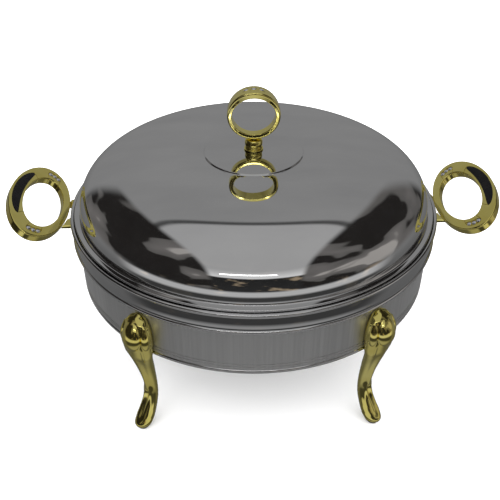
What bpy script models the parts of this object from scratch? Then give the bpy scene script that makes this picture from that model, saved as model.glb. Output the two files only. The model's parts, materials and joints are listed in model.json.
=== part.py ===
"""Round chafer: dome lid, food pan and water pan on a four-legged stand with a fuel burner.

Metres, +Z up, origin on the floor at the centre of the stand. The front is -Y and the handles are on +X and -X.
"""

import math

import bmesh
import bpy
from mathutils import Matrix, Vector

MM = 0.001
GAP = 0.3 * MM
SHEET = 1.0 * MM
EDGE = 0.5 * MM
MERGE = 0.00001
FULL_TURN = 2 * math.pi

# Facets round the large turned pieces, the burner's pieces and the screws
STEPS = 36
CAN_STEPS = 20
SMALL_STEPS = 10

# Lid: spun dome with a raised disc and a flat flange
LID_FLANGE_R = 178 * MM
LID_FLANGE_Z = 159.5 * MM
LID_DOME_R = 172 * MM
LID_DOME_Z = 162.8 * MM
LID_CROWN_H = 48.6 * MM
LID_ACROSS_POWER = 5.0
LID_UP_POWER = 2.2
LID_DISC_R = 48 * MM
LID_DISC_Z = 214.2 * MM
LID_DISC_CROWN = 1.8 * MM
LID_HOLE_R = 3.4 * MM
LID_SHOULDER_RADII = (90, 120, 138, 151, 160, 166, 169.5, 171.2)

# Knob: barrel stem and an upright finger ring whose axis lies along Y
KNOB_BASE_R = 9.3 * MM
KNOB_BASE_H = 2 * MM
KNOB_STEM_R = 8.7 * MM
KNOB_STEM_WAIST = 1.4 * MM
KNOB_STEM_BARREL = 2.5 * MM
KNOB_STEM_TOP_Z = 225.2 * MM
KNOB_RING_RX = 25.4 * MM
KNOB_RING_RZ = 24.8 * MM
KNOB_HOLE_RX = 20.7 * MM
KNOB_HOLE_RZ = 19 * MM
KNOB_HOLE_DROP = 0.4 * MM
KNOB_WIDTH_TOP = 18.5 * MM
KNOB_WIDTH_BOTTOM = 9.5 * MM
KNOB_SHOULDER = 1.3 * MM
KNOB_FACETS = 28
KNOB_BAR_DROP = 3.6 * MM
KNOB_BAR_HALF_LENGTH = 11.6 * MM
KNOB_BAR_HALF_WIDTH = 2.8 * MM
KNOB_BAR_H = 1.6 * MM
KNOB_GEM_SPACING = 7.8 * MM
KNOB_GEM_HEIGHTS = (3.2 * MM, 4.2 * MM, 3.2 * MM)
SCREW_R = 2.5 * MM
SCREW_HOLE_R = 3.1 * MM
SCREW_HEAD_R = 5.5 * MM
SCREW_HEAD_H = 3 * MM
SCREW_BITE = 1.6 * MM
SEAL_R = 8 * MM
SEAL_H = 1.5 * MM

# Food pan and water pan
FOOD_RIM_R = 177.4 * MM
FOOD_RIM_TOP_Z = 158.2 * MM
FOOD_WALL_TOP_R = 167.6 * MM
FOOD_WALL_LOW_R = 160 * MM
FOOD_BOTTOM_Z = 113 * MM
FOOD_CORNER_R = 8 * MM
WATER_RIM_R = 182.2 * MM
WATER_RIM_ROLL = 2 * MM
WATER_RIM_TOP_Z = 158.8 * MM
WATER_BAND_R = 180.6 * MM
WATER_LEDGE_Z = 156.6 * MM
WATER_WALL_TOP_R = 169.5 * MM
WATER_WALL_LOW_R = 165.5 * MM
WATER_BOTTOM_Z = 94 * MM
WATER_CORNER_R = 7 * MM
BEAD_R = 179.6 * MM
BEAD_Z = 138.7 * MM
BEAD_ROLL = 2.2 * MM

# Handles: an oval ring on a two-prong bracket, tilted up outwards
RING_X = 216 * MM
RING_Z = 157.5 * MM
RING_TILT = math.radians(35.7)
RING_HALF_OUT = 30.7 * MM
RING_HALF_LONG = 60.6 * MM
RING_HOLE_OUT = 19.8 * MM
RING_HOLE_LONG = 42 * MM
RING_HOLE_SHIFT = -3.2 * MM
RING_HALF_THICK = 4 * MM
RING_CHAMFER = 1.1 * MM
RING_FACETS = 28
BAND_POINTS = 8
POCKET_DEPTH = 1.5 * MM
ENAMEL_HALF_WIDTH = 4.2 * MM
ENAMEL_END = math.radians(45)
GEM_BAND_HALF_WIDTH = 3.4 * MM
GEM_BAND_START = math.radians(80)
GEM_BAND_END = math.radians(112)
GEM_R = 2.3 * MM
GEM_TABLE_R = 1.3 * MM
GEM_PROUD = 0.5 * MM
GEM_SIDES = 8
GEMS = 3
BRACKET_LOW_Z = 141.3 * MM
BRACKET_THICK = 4 * MM
BRACKET_R = 181 * MM
BRACKET_HALF_SPAN = 24.5 * MM
BRACKET_PRONG = 11 * MM
BRACKET_BASE_X = 184.8 * MM
BRACKET_CORNER = 4 * MM
BRACKET_TIP_X = 200 * MM
BRACKET_WALL_POINTS = 6
RING_ROOM = 0.4 * MM
RIVET_Y = 12 * MM
RIVET_R = 1.2 * MM
RIVET_HOLE_R = 1.6 * MM
RIVET_HEAD_R = 2 * MM
RIVET_HEAD_H = 0.8 * MM
RIVET_HEAD_FACE_X = 178.0 * MM
RIVET_TIP_X = 183.6 * MM

# Stand: brushed band, lower hoop and four legs
BAND_R = 177 * MM
BAND_WALL = 1.2 * MM
BAND_TOP_Z = 155.3 * MM
BAND_GROOVE_Z = 97.2 * MM
BAND_GROOVE = 0.6 * MM
BAND_LOW_Z = 92.5 * MM
HOOP_LOW_Z = 87 * MM
HOOP_TOP_Z = 92.2 * MM
HOOP_INNER_R = 170 * MM
HOOP_LIP_TOP_Z = 98.2 * MM
HOOP_LIP_R = 174 * MM
LEG_BACK_R = 177.35 * MM
LEG_ANGLE = math.radians(35.5)
LEG_SCREW_Z = (106 * MM, 120 * MM)
LEG_SCREW_TIP_R = 184.5 * MM
LEG_SCREW_R = 1.8 * MM
LEG_HOLE_R = 2.3 * MM
LEG_SCREW_HEAD_R = 3.6 * MM
LEG_SCREW_HEAD_FACE_R = 174.6 * MM
LEG_SCREW_HEAD_H = 2 * MM
LEG_FLAT = 0.82
LEG_WAIST = 0.3
PAD_R = 5.5 * MM
PAD_H = 1.9 * MM
PAD_CENTRE_R = 190 * MM

# Burner: strap, holder cup, fuel can, wick plate, snuffer and its pin
STRAP_HALF_LENGTH = 176.5 * MM
STRAP_HALF_WIDTH = 11 * MM
STRAP_THICK = 2 * MM
STRAP_TOP_Z = 86.7 * MM
STRAP_SEAT_Z = 14 * MM
STRAP_DROP_X = 64 * MM
STRAP_SEAT_X = 57 * MM
STRAP_BOLT_X = 173.5 * MM
STRAP_BOLT_R = 1.2 * MM
STRAP_BOLT_HEAD_R = 2.8 * MM
STRAP_BOLT_HEAD_H = 1.6 * MM
STRAP_HOLE_R = 2.1 * MM
HOOP_HOLE_R = 1.6 * MM
HOLDER_R = 46 * MM
HOLDER_H = 12 * MM
HOLDER_SHEET = 0.8 * MM
HOLDER_CORNER = 1.5 * MM
HOLDER_RIVET_R = 1.6 * MM
HOLDER_RIVET_HEAD_R = 3.4 * MM
HOLDER_RIVET_HEAD_H = 0.9 * MM
CAN_R = 43.5 * MM
CAN_LOW_Z = 15.4 * MM
CAN_TOP_Z = 60 * MM
CAN_SHEET = 0.8 * MM
CAN_RECESS_R = 38 * MM
CAN_RECESS_H = 3 * MM
PLATE_R = 43.2 * MM
NECK_R = 18.5 * MM
NECK_HOLE_R = 17 * MM
NECK_H = 5 * MM
SNUFFER_R = 21 * MM
SNUFFER_THICK = 1 * MM
SNUFFER_PIVOT_Y = 30 * MM
PIN_R = 1.5 * MM
PIN_SHOULDER_R = 3 * MM
PIN_HEAD_H = 1.2 * MM
PIN_FOOT = 1.5 * MM
PIN_HOLE_R = 1.9 * MM
SNUFFER_TAIL_R = 5 * MM
TAIL_STEPS = 6

FINISHES = {
    "polished_steel": ((0.62, 0.62, 0.62), 1.0, 0.06),
    "brushed_steel": ((0.46, 0.46, 0.46), 1.0, 0.32),
    "gold": ((0.66, 0.58, 0.20), 1.0, 0.14),
    "enamel": ((0.012, 0.011, 0.013), 0.0, 0.12),
    "crystal": ((0.86, 0.86, 0.90), 0.0, 0.03),
    "plain_steel": ((0.50, 0.50, 0.50), 1.0, 0.28),
    "rubber": ((0.03, 0.03, 0.03), 0.0, 0.7),
    "tin": ((0.55, 0.55, 0.57), 1.0, 0.35),
}

PARTS = "round_chafer"
CUTTERS = "round_chafer_cutters"


def clear_scene():
    for item in list(bpy.data.objects):
        bpy.data.objects.remove(item, do_unlink=True)


def collection(name):
    found = bpy.data.collections.get(name)
    if found is None:
        found = bpy.data.collections.new(name)
        bpy.context.scene.collection.children.link(found)
    return found


def material(finish):
    found = bpy.data.materials.get(finish)
    if found is not None:
        return found
    colour, metallic, roughness = FINISHES[finish]
    made = bpy.data.materials.new(finish)
    made.use_nodes = True
    shader = made.node_tree.nodes["Principled BSDF"]
    shader.inputs["Base Color"].default_value = (*colour, 1.0)
    shader.inputs["Metallic"].default_value = metallic
    shader.inputs["Roughness"].default_value = roughness
    return made


def piece(name, mesh, finish, matrix=None):
    """A sub-part's object, placed by its world matrix."""
    made = bpy.data.objects.new(name, mesh)
    mesh.materials.append(material(finish))
    collection(PARTS).objects.link(made)
    if matrix is not None:
        made.matrix_world = matrix
    return made


def cutter(name, mesh, matrix=None):
    made = bpy.data.objects.new(name, mesh)
    collection(CUTTERS).objects.link(made)
    if matrix is not None:
        made.matrix_world = matrix
    made.hide_render = True
    made.display_type = "WIRE"
    return made


def combine(target, other, operation):
    """A Boolean of two closed solids."""
    step = target.modifiers.new(other.name, "BOOLEAN")
    step.operation = operation
    step.solver = "EXACT"
    step.object = other


def arc(centre_r, centre_z, radius, start, end, count):
    """Points of a round stretch of a profile, from one angle in degrees to another."""
    points = []
    for i in range(count + 1):
        angle = math.radians(start + (end - start) * i / count)
        points.append((centre_r + radius * math.cos(angle), centre_z + radius * math.sin(angle)))
    return points


def profile_mesh(name, profile, closed):
    points = [(radius, 0.0, height) for radius, height in profile]
    edges = [(i, i + 1) for i in range(len(points) - 1)]
    if closed:
        edges.append((len(points) - 1, 0))
    mesh = bpy.data.meshes.new(name)
    mesh.from_pydata(points, edges, [])
    return mesh


def turn(made, steps):
    """Sweeps an object's profile once round its own Z."""
    screw = made.modifiers.new("turn", "SCREW")
    screw.axis = "Z"
    screw.angle = FULL_TURN
    screw.steps = steps
    screw.render_steps = steps
    screw.use_merge_vertices = True
    screw.merge_threshold = MERGE
    screw.use_smooth_shade = True


def turned(name, profile, finish, steps=STEPS, closed=True, matrix=None):
    made = piece(name, profile_mesh(name, profile, closed), finish, matrix)
    turn(made, steps)
    return made


def spun(name, profile, finish, sheet=SHEET, steps=STEPS):
    """A spun sheet: the profile is its outer face, and the sheet's thickness lies behind it."""
    made = turned(name, profile, finish, steps, closed=False)
    shell = made.modifiers.new("sheet", "SOLIDIFY")
    shell.thickness = sheet
    shell.offset = -1
    shell.use_even_offset = True
    return made


def cylinder_mesh(name, radius, low, high, sides=SMALL_STEPS, top_radius=None):
    """A cylinder or cone along Z between two heights."""
    mesh = bpy.data.meshes.new(name)
    shape = bmesh.new()
    bmesh.ops.create_cone(
        shape,
        cap_ends=True,
        segments=sides,
        radius1=radius,
        radius2=radius if top_radius is None else top_radius,
        depth=high - low,
        matrix=Matrix.Translation((0, 0, (low + high) / 2)),
    )
    shape.to_mesh(mesh)
    shape.free()
    return mesh


def plate_mesh(name, loops, low, high):
    """A flat outline with holes, filled and extruded between two heights."""
    curve = bpy.data.curves.new(name, "CURVE")
    curve.dimensions = "2D"
    curve.fill_mode = "BOTH"
    curve.extrude = (high - low) / 2
    for loop in loops:
        spline = curve.splines.new("POLY")
        spline.points.add(len(loop) - 1)
        for point, (x, y) in zip(spline.points, loop):
            point.co = (x, y, 0.0, 1.0)
        spline.use_cyclic_u = True
    outline = bpy.data.objects.new(name + "_outline", curve)
    bpy.context.scene.collection.objects.link(outline)
    depsgraph = bpy.context.evaluated_depsgraph_get()
    mesh = bpy.data.meshes.new_from_object(outline.evaluated_get(depsgraph))
    bpy.data.objects.remove(outline, do_unlink=True)
    shape = bmesh.new()
    shape.from_mesh(mesh)
    bmesh.ops.remove_doubles(shape, verts=shape.verts, dist=MERGE)
    bmesh.ops.translate(shape, verts=shape.verts, vec=(0, 0, (low + high) / 2))
    bmesh.ops.recalc_face_normals(shape, faces=shape.faces)
    shape.to_mesh(mesh)
    shape.free()
    mesh.name = name
    return mesh


def loft_mesh(name, rings, closed):
    """Faces between rings of points. A closed loft joins its last ring to its first."""
    shape = bmesh.new()
    made = [[shape.verts.new(point) for point in ring] for ring in rings]
    count = len(made[0])
    last = len(made) if closed else len(made) - 1
    for i in range(last):
        ring, following = made[i], made[(i + 1) % len(made)]
        for j in range(count):
            k = (j + 1) % count
            shape.faces.new((ring[j], ring[k], following[k], following[j]))
    if not closed:
        shape.faces.new(made[0])
        shape.faces.new(made[-1])
    bmesh.ops.recalc_face_normals(shape, faces=shape.faces)
    mesh = bpy.data.meshes.new(name)
    shape.to_mesh(mesh)
    shape.free()
    return mesh


# Lid ---------------------------------------------------------------------------------------------


def crown_height(radius):
    """Height of the dome's outer face: nearly flat in the middle, round at the shoulder."""
    across = (radius / LID_DOME_R) ** LID_ACROSS_POWER
    return LID_DOME_Z + LID_CROWN_H * (1 - across) ** (1 / LID_UP_POWER)


def build_lid_dome():
    profile = [(LID_HOLE_R, LID_DISC_Z), (KNOB_BASE_R + 1 * MM, LID_DISC_Z)]
    profile.append((LID_DISC_R / 2, LID_DISC_Z - LID_DISC_CROWN / 4))
    profile.append((LID_DISC_R - 1 * MM, LID_DISC_Z - LID_DISC_CROWN))
    shoulder = [LID_DISC_R + 0.6 * MM] + [radius * MM for radius in LID_SHOULDER_RADII]
    profile += [(radius, crown_height(radius)) for radius in shoulder]
    profile.append((LID_DOME_R + 0.7 * MM, LID_DOME_Z - 0.6 * MM))
    profile.append((LID_FLANGE_R - 1 * MM, LID_FLANGE_Z + 1.2 * MM))
    profile += [(LID_FLANGE_R, LID_FLANGE_Z + 0.4 * MM), (LID_FLANGE_R, LID_FLANGE_Z - 1 * MM)]
    spun("lid_dome", profile, "polished_steel")


def build_knob_base():
    low = LID_DISC_Z + GAP
    high = low + KNOB_BASE_H
    profile = [(SCREW_HOLE_R, high), (KNOB_BASE_R - EDGE, high), (KNOB_BASE_R, high - EDGE)]
    profile += [(KNOB_BASE_R, low), (SCREW_HOLE_R, low)]
    turned("knob_base", profile, "gold", CAN_STEPS)


def build_knob_stem():
    low = LID_DISC_Z + KNOB_BASE_H + 2 * GAP
    high = KNOB_STEM_TOP_Z
    waist = KNOB_STEM_R - KNOB_STEM_WAIST
    barrel = KNOB_STEM_R - 0.3 * MM
    middle = (low + high) / 2
    profile = [(SCREW_HOLE_R, high), (waist, high), (barrel, middle + KNOB_STEM_BARREL), (KNOB_STEM_R, middle)]
    profile += [(barrel, middle - KNOB_STEM_BARREL), (waist, low), (SCREW_HOLE_R, low)]
    turned("knob_stem", profile, "gold", CAN_STEPS)


def knob_centre_z():
    return KNOB_STEM_TOP_Z + GAP + KNOB_RING_RZ


def build_knob_ring():
    """A finger ring, wide at its top and narrow at its bottom."""
    rings = []
    for i in range(KNOB_FACETS):
        angle = FULL_TURN * i / KNOB_FACETS
        across, up = math.cos(angle), math.sin(angle)
        half = (KNOB_WIDTH_TOP + KNOB_WIDTH_BOTTOM) / 4 + (KNOB_WIDTH_TOP - KNOB_WIDTH_BOTTOM) / 4 * up
        shoulder = 1 - KNOB_SHOULDER / KNOB_RING_RX
        outer = Vector((KNOB_RING_RX * across, 0, KNOB_RING_RZ * up))
        inner = Vector((KNOB_HOLE_RX * across, 0, KNOB_HOLE_RZ * up - KNOB_HOLE_DROP))
        side = Vector((0, half, 0))
        rings.append(
            [
                inner - side,
                inner + side,
                outer * shoulder + side,
                outer + side * 0.5,
                outer - side * 0.5,
                outer * shoulder - side,
            ]
        )
    place = Matrix.Translation((0, 0, knob_centre_z()))
    ring = piece("knob_ring", loft_mesh("knob_ring", rings, True), "gold", place)
    low, high = KNOB_STEM_TOP_Z - SCREW_BITE, KNOB_STEM_TOP_Z + 2 * GAP + SCREW_BITE
    hole = cylinder_mesh("knob_screw_hole", SCREW_HOLE_R, low, high)
    combine(ring, cutter("knob_screw_hole", hole), "DIFFERENCE")
    half_x, half_y = KNOB_BAR_HALF_LENGTH + GAP, KNOB_BAR_HALF_WIDTH + GAP
    low = knob_bar_z() - GAP
    pocket = box_mesh("knob_gem_pocket", half_x, half_y, low, low + 2 * KNOB_BAR_DROP)
    combine(ring, cutter("knob_gem_pocket", pocket), "DIFFERENCE")


def knob_bar_z():
    return knob_centre_z() + KNOB_RING_RZ - KNOB_BAR_DROP


def box_mesh(name, half_x, half_y, low, high):
    mesh = bpy.data.meshes.new(name)
    shape = bmesh.new()
    size = Matrix.Diagonal((2 * half_x, 2 * half_y, high - low, 1))
    bmesh.ops.create_cube(shape, size=1, matrix=Matrix.Translation((0, 0, (low + high) / 2)) @ size)
    shape.to_mesh(mesh)
    shape.free()
    return mesh


def build_knob_gems():
    low = knob_bar_z()
    mesh = box_mesh("knob_gems", KNOB_BAR_HALF_LENGTH, KNOB_BAR_HALF_WIDTH, low, low + KNOB_BAR_H)
    bar = piece("knob_gems", mesh, "crystal")
    for i, height in enumerate(KNOB_GEM_HEIGHTS):
        x = (i - 1) * KNOB_GEM_SPACING
        gem = cylinder_mesh(f"knob_gem_{i}", GEM_R, low + KNOB_BAR_H / 2, low + height, GEM_SIDES, GEM_TABLE_R)
        combine(bar, cutter(f"knob_gem_{i}", gem, Matrix.Translation((x, 0, 0))), "UNION")


def build_knob_screw():
    """Runs up from inside the lid into the ring's lower wall."""
    under = LID_DISC_Z - SHEET - 2 * GAP - SEAL_H
    head_low = under - SCREW_HEAD_H
    tip = KNOB_STEM_TOP_Z + GAP + SCREW_BITE
    profile = [(0, tip), (SCREW_R, tip), (SCREW_R, under), (SCREW_HEAD_R, under)]
    profile += [(SCREW_HEAD_R, head_low), (0, head_low)]
    turned("knob_screw", profile, "plain_steel", SMALL_STEPS, closed=False)


def build_knob_seal():
    high = LID_DISC_Z - SHEET - GAP
    low = high - SEAL_H
    profile = [(SCREW_HOLE_R, high), (SEAL_R, high), (SEAL_R, low), (SCREW_HOLE_R, low)]
    turned("knob_seal", profile, "rubber", CAN_STEPS)


# Pans --------------------------------------------------------------------------------------------


def build_food_pan():
    rim_z = FOOD_RIM_TOP_Z - SHEET
    profile = [(FOOD_RIM_R, rim_z), (FOOD_WALL_TOP_R + 1.6 * MM, rim_z), (FOOD_WALL_TOP_R, rim_z - 2 * MM)]
    profile.append((FOOD_WALL_LOW_R, FOOD_BOTTOM_Z + FOOD_CORNER_R))
    corner = arc(FOOD_WALL_LOW_R - FOOD_CORNER_R, FOOD_BOTTOM_Z + FOOD_CORNER_R, FOOD_CORNER_R, 0, -90, 3)
    spun("food_pan", profile + corner[1:] + [(0, FOOD_BOTTOM_Z)], "polished_steel")


def build_water_pan():
    """One sheet: floor, inner wall, ledge, rolled rim, outer band and rolled bead."""
    floor_z = WATER_BOTTOM_Z + SHEET
    low_r = WATER_WALL_LOW_R - WATER_CORNER_R
    profile = [(0, floor_z)]
    profile += arc(low_r, floor_z + WATER_CORNER_R, WATER_CORNER_R, -90, 0, 3)
    profile += [(WATER_WALL_TOP_R, WATER_LEDGE_Z - 1.5 * MM), (WATER_WALL_TOP_R + 1.5 * MM, WATER_LEDGE_Z)]
    profile.append((WATER_RIM_R - 2 * WATER_RIM_ROLL - 0.2 * MM, WATER_LEDGE_Z))
    roll_z = WATER_RIM_TOP_Z - WATER_RIM_ROLL
    profile += arc(WATER_RIM_R - WATER_RIM_ROLL, roll_z, WATER_RIM_ROLL, 155, -30, 5)
    profile += [(WATER_BAND_R, WATER_RIM_TOP_Z - 4.6 * MM), (WATER_BAND_R, BEAD_Z + BEAD_ROLL + 0.3 * MM)]
    profile += arc(BEAD_R, BEAD_Z, BEAD_ROLL, 45, -80, 4)
    pan = spun("water_pan", profile, "polished_steel")
    for side in ("left", "right"):
        for y in (-RIVET_Y, RIVET_Y):
            hole = cylinder_mesh("rivet_hole", RIVET_HOLE_R, RIVET_HEAD_FACE_X, RIVET_TIP_X)
            made = cutter(f"{side}_rivet_hole_{'front' if y < 0 else 'rear'}", hole, rivet_matrix(side, y))
            combine(pan, made, "DIFFERENCE")


# Handles -----------------------------------------------------------------------------------------


def side_matrix(side):
    return Matrix.Rotation(math.pi if side == "left" else 0, 4, "Z")


def rivet_matrix(side, y):
    """A rivet's own Z lies along the side's outward X, at the bracket's middle height."""
    flip = -1 if side == "left" else 1
    place = Matrix.Translation((0, y * flip, BRACKET_LOW_Z + BRACKET_THICK / 2))
    return side_matrix(side) @ place @ Matrix.Rotation(math.pi / 2, 4, "Y")


def ring_matrix(side):
    place = Matrix.Translation((RING_X, 0, RING_Z))
    return side_matrix(side) @ place @ Matrix.Rotation(-RING_TILT, 4, "Y")


def ellipse(half_x, half_y, shift=0.0, grow=0.0, count=RING_FACETS):
    points = []
    for i in range(count):
        angle = FULL_TURN * i / count
        points.append((shift + (half_x + grow) * math.cos(angle), (half_y + grow) * math.sin(angle)))
    return points


def band_point(angle, offset):
    """A point on the ring's face, a distance outward from the middle of its band."""
    half_x = (RING_HALF_OUT + RING_HOLE_OUT) / 2
    half_y = (RING_HALF_LONG + RING_HOLE_LONG) / 2
    normal = Vector((math.cos(angle) / half_x, math.sin(angle) / half_y)).normalized()
    return Vector((RING_HOLE_SHIFT / 2 + half_x * math.cos(angle), half_y * math.sin(angle))) + normal * offset


def band_outline(start, end, half_width, grow=0.0):
    """The outline of a strip along the ring's band, with round ends."""
    half = half_width + grow
    angles = [start + (end - start) * i / BAND_POINTS for i in range(BAND_POINTS + 1)]
    outer = [band_point(angle, half) for angle in angles]
    inner = [band_point(angle, -half) for angle in reversed(angles)]
    tip, heel = band_tip(end, angles[-2], half), band_tip(start, angles[1], half)
    return [tuple(point) for point in outer + [tip] + inner + [heel]]


def band_tip(angle, before, half):
    """The middle of a strip's round end, past its last angle."""
    last = band_point(angle, 0)
    return last + (last - band_point(before, 0)).normalized() * half


def build_handle_ring(side):
    loops = [
        ellipse(RING_HALF_OUT, RING_HALF_LONG),
        ellipse(RING_HOLE_OUT, RING_HOLE_LONG, RING_HOLE_SHIFT),
    ]
    mesh = plate_mesh(f"{side}_ring", loops, -RING_HALF_THICK, RING_HALF_THICK)
    ring = piece(f"{side}_ring", mesh, "gold", ring_matrix(side))
    edge = ring.modifiers.new("chamfer", "BEVEL")
    edge.width = RING_CHAMFER
    edge.segments = 1
    edge.limit_method = "ANGLE"
    edge.angle_limit = math.radians(50)
    floor = RING_HALF_THICK - POCKET_DEPTH
    for name, start, end, half_width in inlays():
        outline = band_outline(start, end, half_width, GAP)
        pocket = plate_mesh("pocket", [outline], floor, RING_HALF_THICK + 2 * MM)
        combine(ring, cutter(f"{side}_{name}_pocket", pocket, ring_matrix(side)), "DIFFERENCE")


def inlays():
    """Name, first and last angle on the ring, and half width of each inlay."""
    return [
        ("enamel", -ENAMEL_END, ENAMEL_END, ENAMEL_HALF_WIDTH),
        ("near_gems", -GEM_BAND_END, -GEM_BAND_START, GEM_BAND_HALF_WIDTH),
        ("far_gems", GEM_BAND_START, GEM_BAND_END, GEM_BAND_HALF_WIDTH),
    ]


def build_enamel(side):
    _, start, end, half_width = inlays()[0]
    low = RING_HALF_THICK - POCKET_DEPTH + GAP
    mesh = plate_mesh(f"{side}_enamel", [band_outline(start, end, half_width)], low, RING_HALF_THICK)
    piece(f"{side}_enamel", mesh, "enamel", ring_matrix(side))


def build_handle_gems(side, local_name, start, end, half_width):
    """Three crystals on one setting strip. The left ring is turned round, so its ends swap."""
    near = local_name == "near_gems"
    front = near if side == "right" else not near
    name = f"{side}_{'front' if front else 'rear'}_gems"
    low = RING_HALF_THICK - POCKET_DEPTH + GAP
    strip_top = RING_HALF_THICK - EDGE
    strip = piece(name, plate_mesh(name, [band_outline(start, end, half_width)], low, strip_top), "crystal")
    strip.matrix_world = ring_matrix(side)
    for i in range(GEMS):
        angle = start + (end - start) * (i + 0.5) / GEMS
        place = Matrix.Translation((*band_point(angle, 0), 0))
        gem = cylinder_mesh("gem", GEM_R, low + GAP, RING_HALF_THICK + GEM_PROUD, GEM_SIDES, GEM_TABLE_R)
        combine(strip, cutter(f"{name}_{i}", gem, ring_matrix(side) @ place), "UNION")


def bracket_outline():
    """Two prongs on a base that follows the pan's wall, drawn from the rear prong round to the front one."""
    half_angle = math.asin(BRACKET_HALF_SPAN / BRACKET_R)
    wall = []
    for i in range(BRACKET_WALL_POINTS + 1):
        angle = half_angle * (2 * i / BRACKET_WALL_POINTS - 1)
        wall.append((BRACKET_R * math.cos(angle), BRACKET_R * math.sin(angle)))
    inner_y = BRACKET_HALF_SPAN - BRACKET_PRONG
    corner_x = BRACKET_BASE_X + BRACKET_CORNER
    corner_y = inner_y - BRACKET_CORNER
    rear_corner = arc(corner_x, corner_y, BRACKET_CORNER, 90, 180, 3)
    front_corner = arc(corner_x, -corner_y, BRACKET_CORNER, 180, 270, 3)
    rear = [(BRACKET_TIP_X, BRACKET_HALF_SPAN), (BRACKET_TIP_X, inner_y)]
    front = [(BRACKET_TIP_X, -inner_y), (BRACKET_TIP_X, -BRACKET_HALF_SPAN)]
    return wall + rear + rear_corner + front_corner + front


def build_bracket(side):
    high = BRACKET_LOW_Z + BRACKET_THICK
    mesh = plate_mesh(f"{side}_bracket", [bracket_outline()], BRACKET_LOW_Z, high)
    bracket = piece(f"{side}_bracket", mesh, "gold", side_matrix(side))
    outline = ellipse(RING_HALF_OUT, RING_HALF_LONG, grow=RING_ROOM)
    around = plate_mesh("ring_room", [outline], -3 * RING_HALF_THICK, 3 * RING_HALF_THICK)
    combine(bracket, cutter(f"{side}_ring_room", around, ring_matrix(side)), "DIFFERENCE")
    for y in (-RIVET_Y, RIVET_Y):
        end = "front" if y < 0 else "rear"
        hole = cylinder_mesh("bracket_hole", RIVET_HOLE_R, RIVET_HEAD_FACE_X, RIVET_TIP_X + GAP)
        made = cutter(f"{side}_bracket_hole_{end}", hole, rivet_matrix(side, y))
        combine(bracket, made, "DIFFERENCE")


def build_rivets(side):
    back = RIVET_HEAD_FACE_X - RIVET_HEAD_H
    profile = [(0, RIVET_TIP_X), (RIVET_R, RIVET_TIP_X), (RIVET_R, RIVET_HEAD_FACE_X)]
    profile += [(RIVET_HEAD_R, RIVET_HEAD_FACE_X), (RIVET_HEAD_R, back), (0, back)]
    for y in (-RIVET_Y, RIVET_Y):
        name = f"{side}_{'front' if y < 0 else 'rear'}_rivet"
        turned(name, profile, "plain_steel", SMALL_STEPS, closed=False, matrix=rivet_matrix(side, y))


def build_handle(side):
    build_handle_ring(side)
    build_enamel(side)
    for name, start, end, half_width in inlays()[1:]:
        build_handle_gems(side, name, start, end, half_width)
    build_bracket(side)
    build_rivets(side)


# Stand -------------------------------------------------------------------------------------------


def leg_places():
    """Name and direction of each leg, as an angle round Z from +X."""
    front, rear = -math.pi / 2, math.pi / 2
    return [
        ("front_left", front - LEG_ANGLE),
        ("front_right", front + LEG_ANGLE),
        ("rear_right", rear - LEG_ANGLE),
        ("rear_left", rear + LEG_ANGLE),
    ]


def radial_matrix(direction, height):
    """A frame whose Z points outward from the stand's axis, at a height."""
    turn_round = Matrix.Rotation(direction, 4, "Z")
    return turn_round @ Matrix.Translation((0, 0, height)) @ Matrix.Rotation(math.pi / 2, 4, "Y")


def leg_screws():
    """Name, placement and leg of each screw."""
    found = []
    for leg, direction in leg_places():
        for height, level in zip(LEG_SCREW_Z, ("lower", "upper")):
            found.append((f"{leg}_{level}_screw", radial_matrix(direction, height), leg))
    return found


def build_stand_band(holes):
    inner = BAND_R - BAND_WALL
    groove = BAND_R - BAND_GROOVE
    profile = [(inner, BAND_TOP_Z), (BAND_R, BAND_TOP_Z), (BAND_R, BAND_GROOVE_Z)]
    profile += [(groove, BAND_GROOVE_Z - 1 * MM), (groove, BAND_LOW_Z), (inner, BAND_LOW_Z)]
    band = turned("stand_band", profile, "brushed_steel")
    for made, _ in holes:
        combine(band, made, "DIFFERENCE")


def build_stand_hoop():
    """A rolled hoop with a lip that stands up inside the band."""
    lip_r = BAND_R - BAND_WALL - GAP
    middle = (HOOP_LOW_Z + HOOP_TOP_Z) / 2
    profile = [(HOOP_LIP_R, HOOP_LIP_TOP_Z), (lip_r, HOOP_LIP_TOP_Z), (lip_r, HOOP_TOP_Z)]
    profile += [(BAND_R - 1 * MM, HOOP_TOP_Z), (BAND_R, middle + 0.8 * MM), (BAND_R, middle - 0.8 * MM)]
    profile += [(BAND_R - 1.2 * MM, HOOP_LOW_Z), (HOOP_INNER_R, HOOP_LOW_Z), (HOOP_INNER_R, HOOP_TOP_Z)]
    hoop = turned("stand_hoop", profile + [(HOOP_LIP_R, HOOP_TOP_Z)], "polished_steel")
    for side, x in (("left", -STRAP_BOLT_X), ("right", STRAP_BOLT_X)):
        hole = cylinder_mesh("hoop_hole", HOOP_HOLE_R, STRAP_TOP_Z, HOOP_TOP_Z - 1 * MM)
        combine(hoop, cutter(f"{side}_hoop_hole", hole, Matrix.Translation((x, 0, 0))), "DIFFERENCE")


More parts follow.
